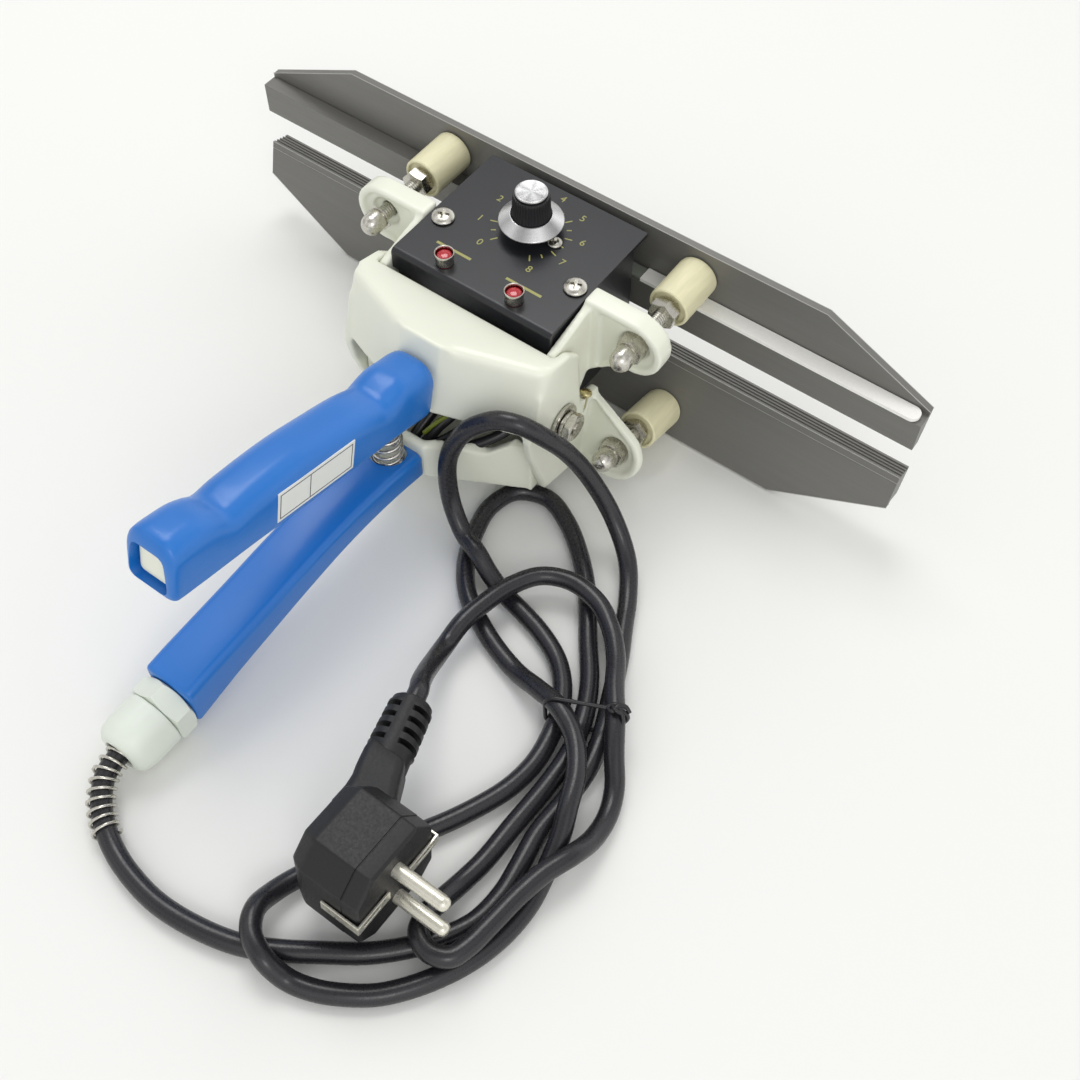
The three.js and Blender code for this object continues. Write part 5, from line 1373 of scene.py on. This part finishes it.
def plug_tail():
    reach = Vector(TAIL_TO) - Vector(TAIL_FROM)
    length = reach.length
    first = length * TAIL_PLAIN_SHARE
    pitch = (length - first - TAIL_COLLAR) / TAIL_RIBS
    runs = [*TAIL_ROOT, first - 1]
    for rib in range(TAIL_RIBS):
        runs += [first + rib * pitch + pitch * share for share in RIB_RUNS]
    runs += [length - TAIL_COLLAR, length - TAIL_COLLAR + 1]
    wide, narrow = TAIL_RADIUS

    def ribs(angle, _, run):
        share = (run - first) / pitch
        if run < first or run > length - TAIL_COLLAR - RIB_MARGIN:
            return 1
        dip = 1 if RIB_CUT[0] < share % 1 < RIB_CUT[1] else 0
        side = min(max((abs(cos(angle)) - RIB_SIDE[0]) / RIB_SIDE[1], 0), 1)
        return 1 - RIB_CUT_DEPTH * dip * side + RIB_SWELL * side
    profile = [(0, TAIL_ROOT[0])]
    profile += [(wide + (narrow - wide) * max(run, 0) / length, run) for run in runs]
    mouth = CORD_DIAMETER * HALF + TAIL_PLAY
    profile += [(narrow - TAIL_EDGE, length), (mouth, length), (0, length - TAIL_DISH)]
    bm = lathe(profile, "Y", sides=TAIL_SIDES, wave=ribs)
    turn = atan2(-reach.x, reach.y)
    bm.transform(Matrix.Translation((*TAIL_FROM, 0)) @ Matrix.Rotation(turn, 4, "Z"))
    return bm


# Neck between the body and the tail: place along the cord, place across and size
NECK_OUTLINE = [(-7.4, -8.4), (8.2, -8.4), (8.2, 8.4), (-7.4, 8.4)]
NECK_CORNER = 3.4
NECK_SECTIONS = [
    (6, -20.4, 1.2), (12, -20.8, 1.16), (16, -22, 1.1), (19, -23.6, 1.05), (22, -25, 1), (25.6, -26.4, 0.96),
    (28.6, -27.4, 0.9), (29.2, -27.6, 0.84),
]
PIN_PLACE = 9.5
PIN_PROFILE = [(0, -8), (2.4, -8), (2.4, 16.6), (2.25, 17.6), (1.8, 18.4), (1.1, 18.85), (0, 19)]
CLIP_SLOT = (8.5, 15.6)
CLIP_SLOT_REACH = (-2, 3)
CLIP_SLOT_RISE = 0.8
CLIP_BEVEL = 0.2


def add_plug():
    body = add_rings(shell(), [[(x, y, z) for y, z in plug_outline(share)] for x, share in PLUG_PROFILE])
    neck = fillet(NECK_OUTLINE, NECK_CORNER, 5)
    collar = add_rings(shell(), [
        [(at + x * share, y, z * share) for x, z in neck] for y, at, share in NECK_SECTIONS])
    dress("plug_body", merged(body, collar, plug_tail()), PLUG, PLASTIC, smooth=38)
    for level, sign in (("upper", 1), ("lower", -1)):
        dress(f"plug_{level}_pin", lathe(PIN_PROFILE, "X", (0, sign * PIN_PLACE)), PLUG, PINS)
    start, end = CLIP_SLOT_REACH
    for side, sign in (("near", -1), ("far", 1)):
        first, last = sorted(sign * y for y in CLIP_SLOT)
        slot = box((start, first, -CLIP_SLOT_RISE), (end, last, CLIP_SLOT_RISE))
        clip = carve(copy_of(f"plug_{side}_earth_clip", PLUG), slot)
        dress(f"plug_{side}_earth_clip", soften(clip, CLIP_BEVEL), PLUG, PINS)


# Tie: a thin covered wire drawn tight round the bundle, its ends twisted into a knot
TIE_PLACE = Vector((108.5, -21, 0))
TIE_TURN = radians(26)
TIE_REACH = 25
TIE_WIRE = 0.75
TIE_TAILS = [
    [(6.5, 0, 16.8), (9.2, 1.2, 18), (11.4, -0.6, 17.4), (12.8, -2.6, 15.2), (12.4, -4.8, 12.4),
     (13.2, -6.6, 9.6)],
    [(6.8, 0.4, 16.8), (8.6, -1.6, 17.8), (10.6, 0.8, 18.4), (13, 1.4, 17.2), (14.6, 0.2, 15.8)],
    [(8.4, 0.8, 17.8), (9.8, -1.4, 18.6), (11.6, -1.2, 17.2), (10.4, 0.6, 16.2), (8.8, 0.2, 16.6)],
]


def add_tie():
    along = Vector((cos(TIE_TURN), sin(TIE_TURN), 0))
    across = Vector((-along.y, along.x, 0))
    reach = CORD_DIAMETER * HALF + TIE_WIRE
    edge = []
    for here, ahead in zip(CORD_LINE, CORD_LINE[1:]):
        before, after = (here - TIE_PLACE).dot(across), (ahead - TIE_PLACE).dot(across)
        if before * after > 0 or before == after:
            continue
        at = here.lerp(ahead, before / (before - after)) - TIE_PLACE
        run = at.dot(along)
        if abs(run) < TIE_REACH:
            edge += [
                Vector((run + reach * cos(angle), max(at.z + reach * sin(angle), TIE_WIRE)))
                for angle in circle(ROUND)]
    loop = [edge[index] for index in geometry.convex_hull_2d(edge)]
    line = [TIE_PLACE + along * point.x + Vector((0, 0, point.y)) for point in [*loop, *loop[:2]]]
    bm = tube(line, TIE_WIRE, 10)
    for tail in TIE_TAILS:
        points = [TIE_PLACE + along * x + across * y + Vector((0, 0, z)) for x, y, z in tail]
        tube(smooth_line(points, CORD_STEPS), TIE_WIRE, 10, bm)
    dress("cord_tie", bm, TABLE, BLACK, smooth=80, even=False)


# Wires that cross the hinge inside the hub, on the lower arm
WIRE_ROUTES = [
    (BLACK, 2.1, [(-7, -31, -9), (-6, -25, -4), (-6, -19, 1), (-9, -10, 5), (-12, 0, 6), (-13, 6.5, 6)]),
    (BLACK, 2.1, [(-1, -31, -10), (0, -25, -6), (1, -18, -2), (0, -9, 3), (-3, 0, 5), (-5, 6.5, 5)]),
    (BLACK, 2.1, [(4, -31, -10), (6, -25, -5), (9, -18, -1), (11, -9, 2), (9, 0, 3), (6, 6.5, 3)]),
    (BLACK, 2.1, [(6, -31, -11), (11, -26, -7), (16, -19, -3), (20, -10, 0), (19, -1, 2), (15, 6.5, 2)]),
    (BLACK, 1.9, [(9, -30, -12), (16, -26, -9), (23, -20, -6), (28, -12, -3), (28, -2, -1), (24, 6.5, 0)]),
    (EARTH, 0.9, [
        (3, -30, -6), (6, -25, -2), (10, -19, 1), (16, -12, 3), (24, -6, 3), (30, 0, 1), (33, 6, -2)]),
]


def add_wires():
    for at, (material, radius, route) in enumerate(WIRE_ROUTES):
        bm = tube(smooth_line(route, CORD_STEPS), radius, 12)
        place(f"inner_wire_{at + 1}", bm, LOWER, "lower_arm", material, "cord", smooth=80)


add_camera()
cord = add_cord()
for node, made in frame["nodes"].items():
    made.data.materials.clear()
    made.data.materials.append(CLASS_OF[SLOT_OF[node]])

cast("lower_handle_frame", LOWER)
cast("upper_handle_frame", UPPER)
add_grips()
add_label()
add_jaws()
add_jaw_mountings()
add_screws()
add_hinge()
add_box()
add_lamps()
add_knob()
add_print()
add_handle_spring()
add_gland()
add_relief_spring()
add_plug()
add_tie()
add_wires()

add_stage()
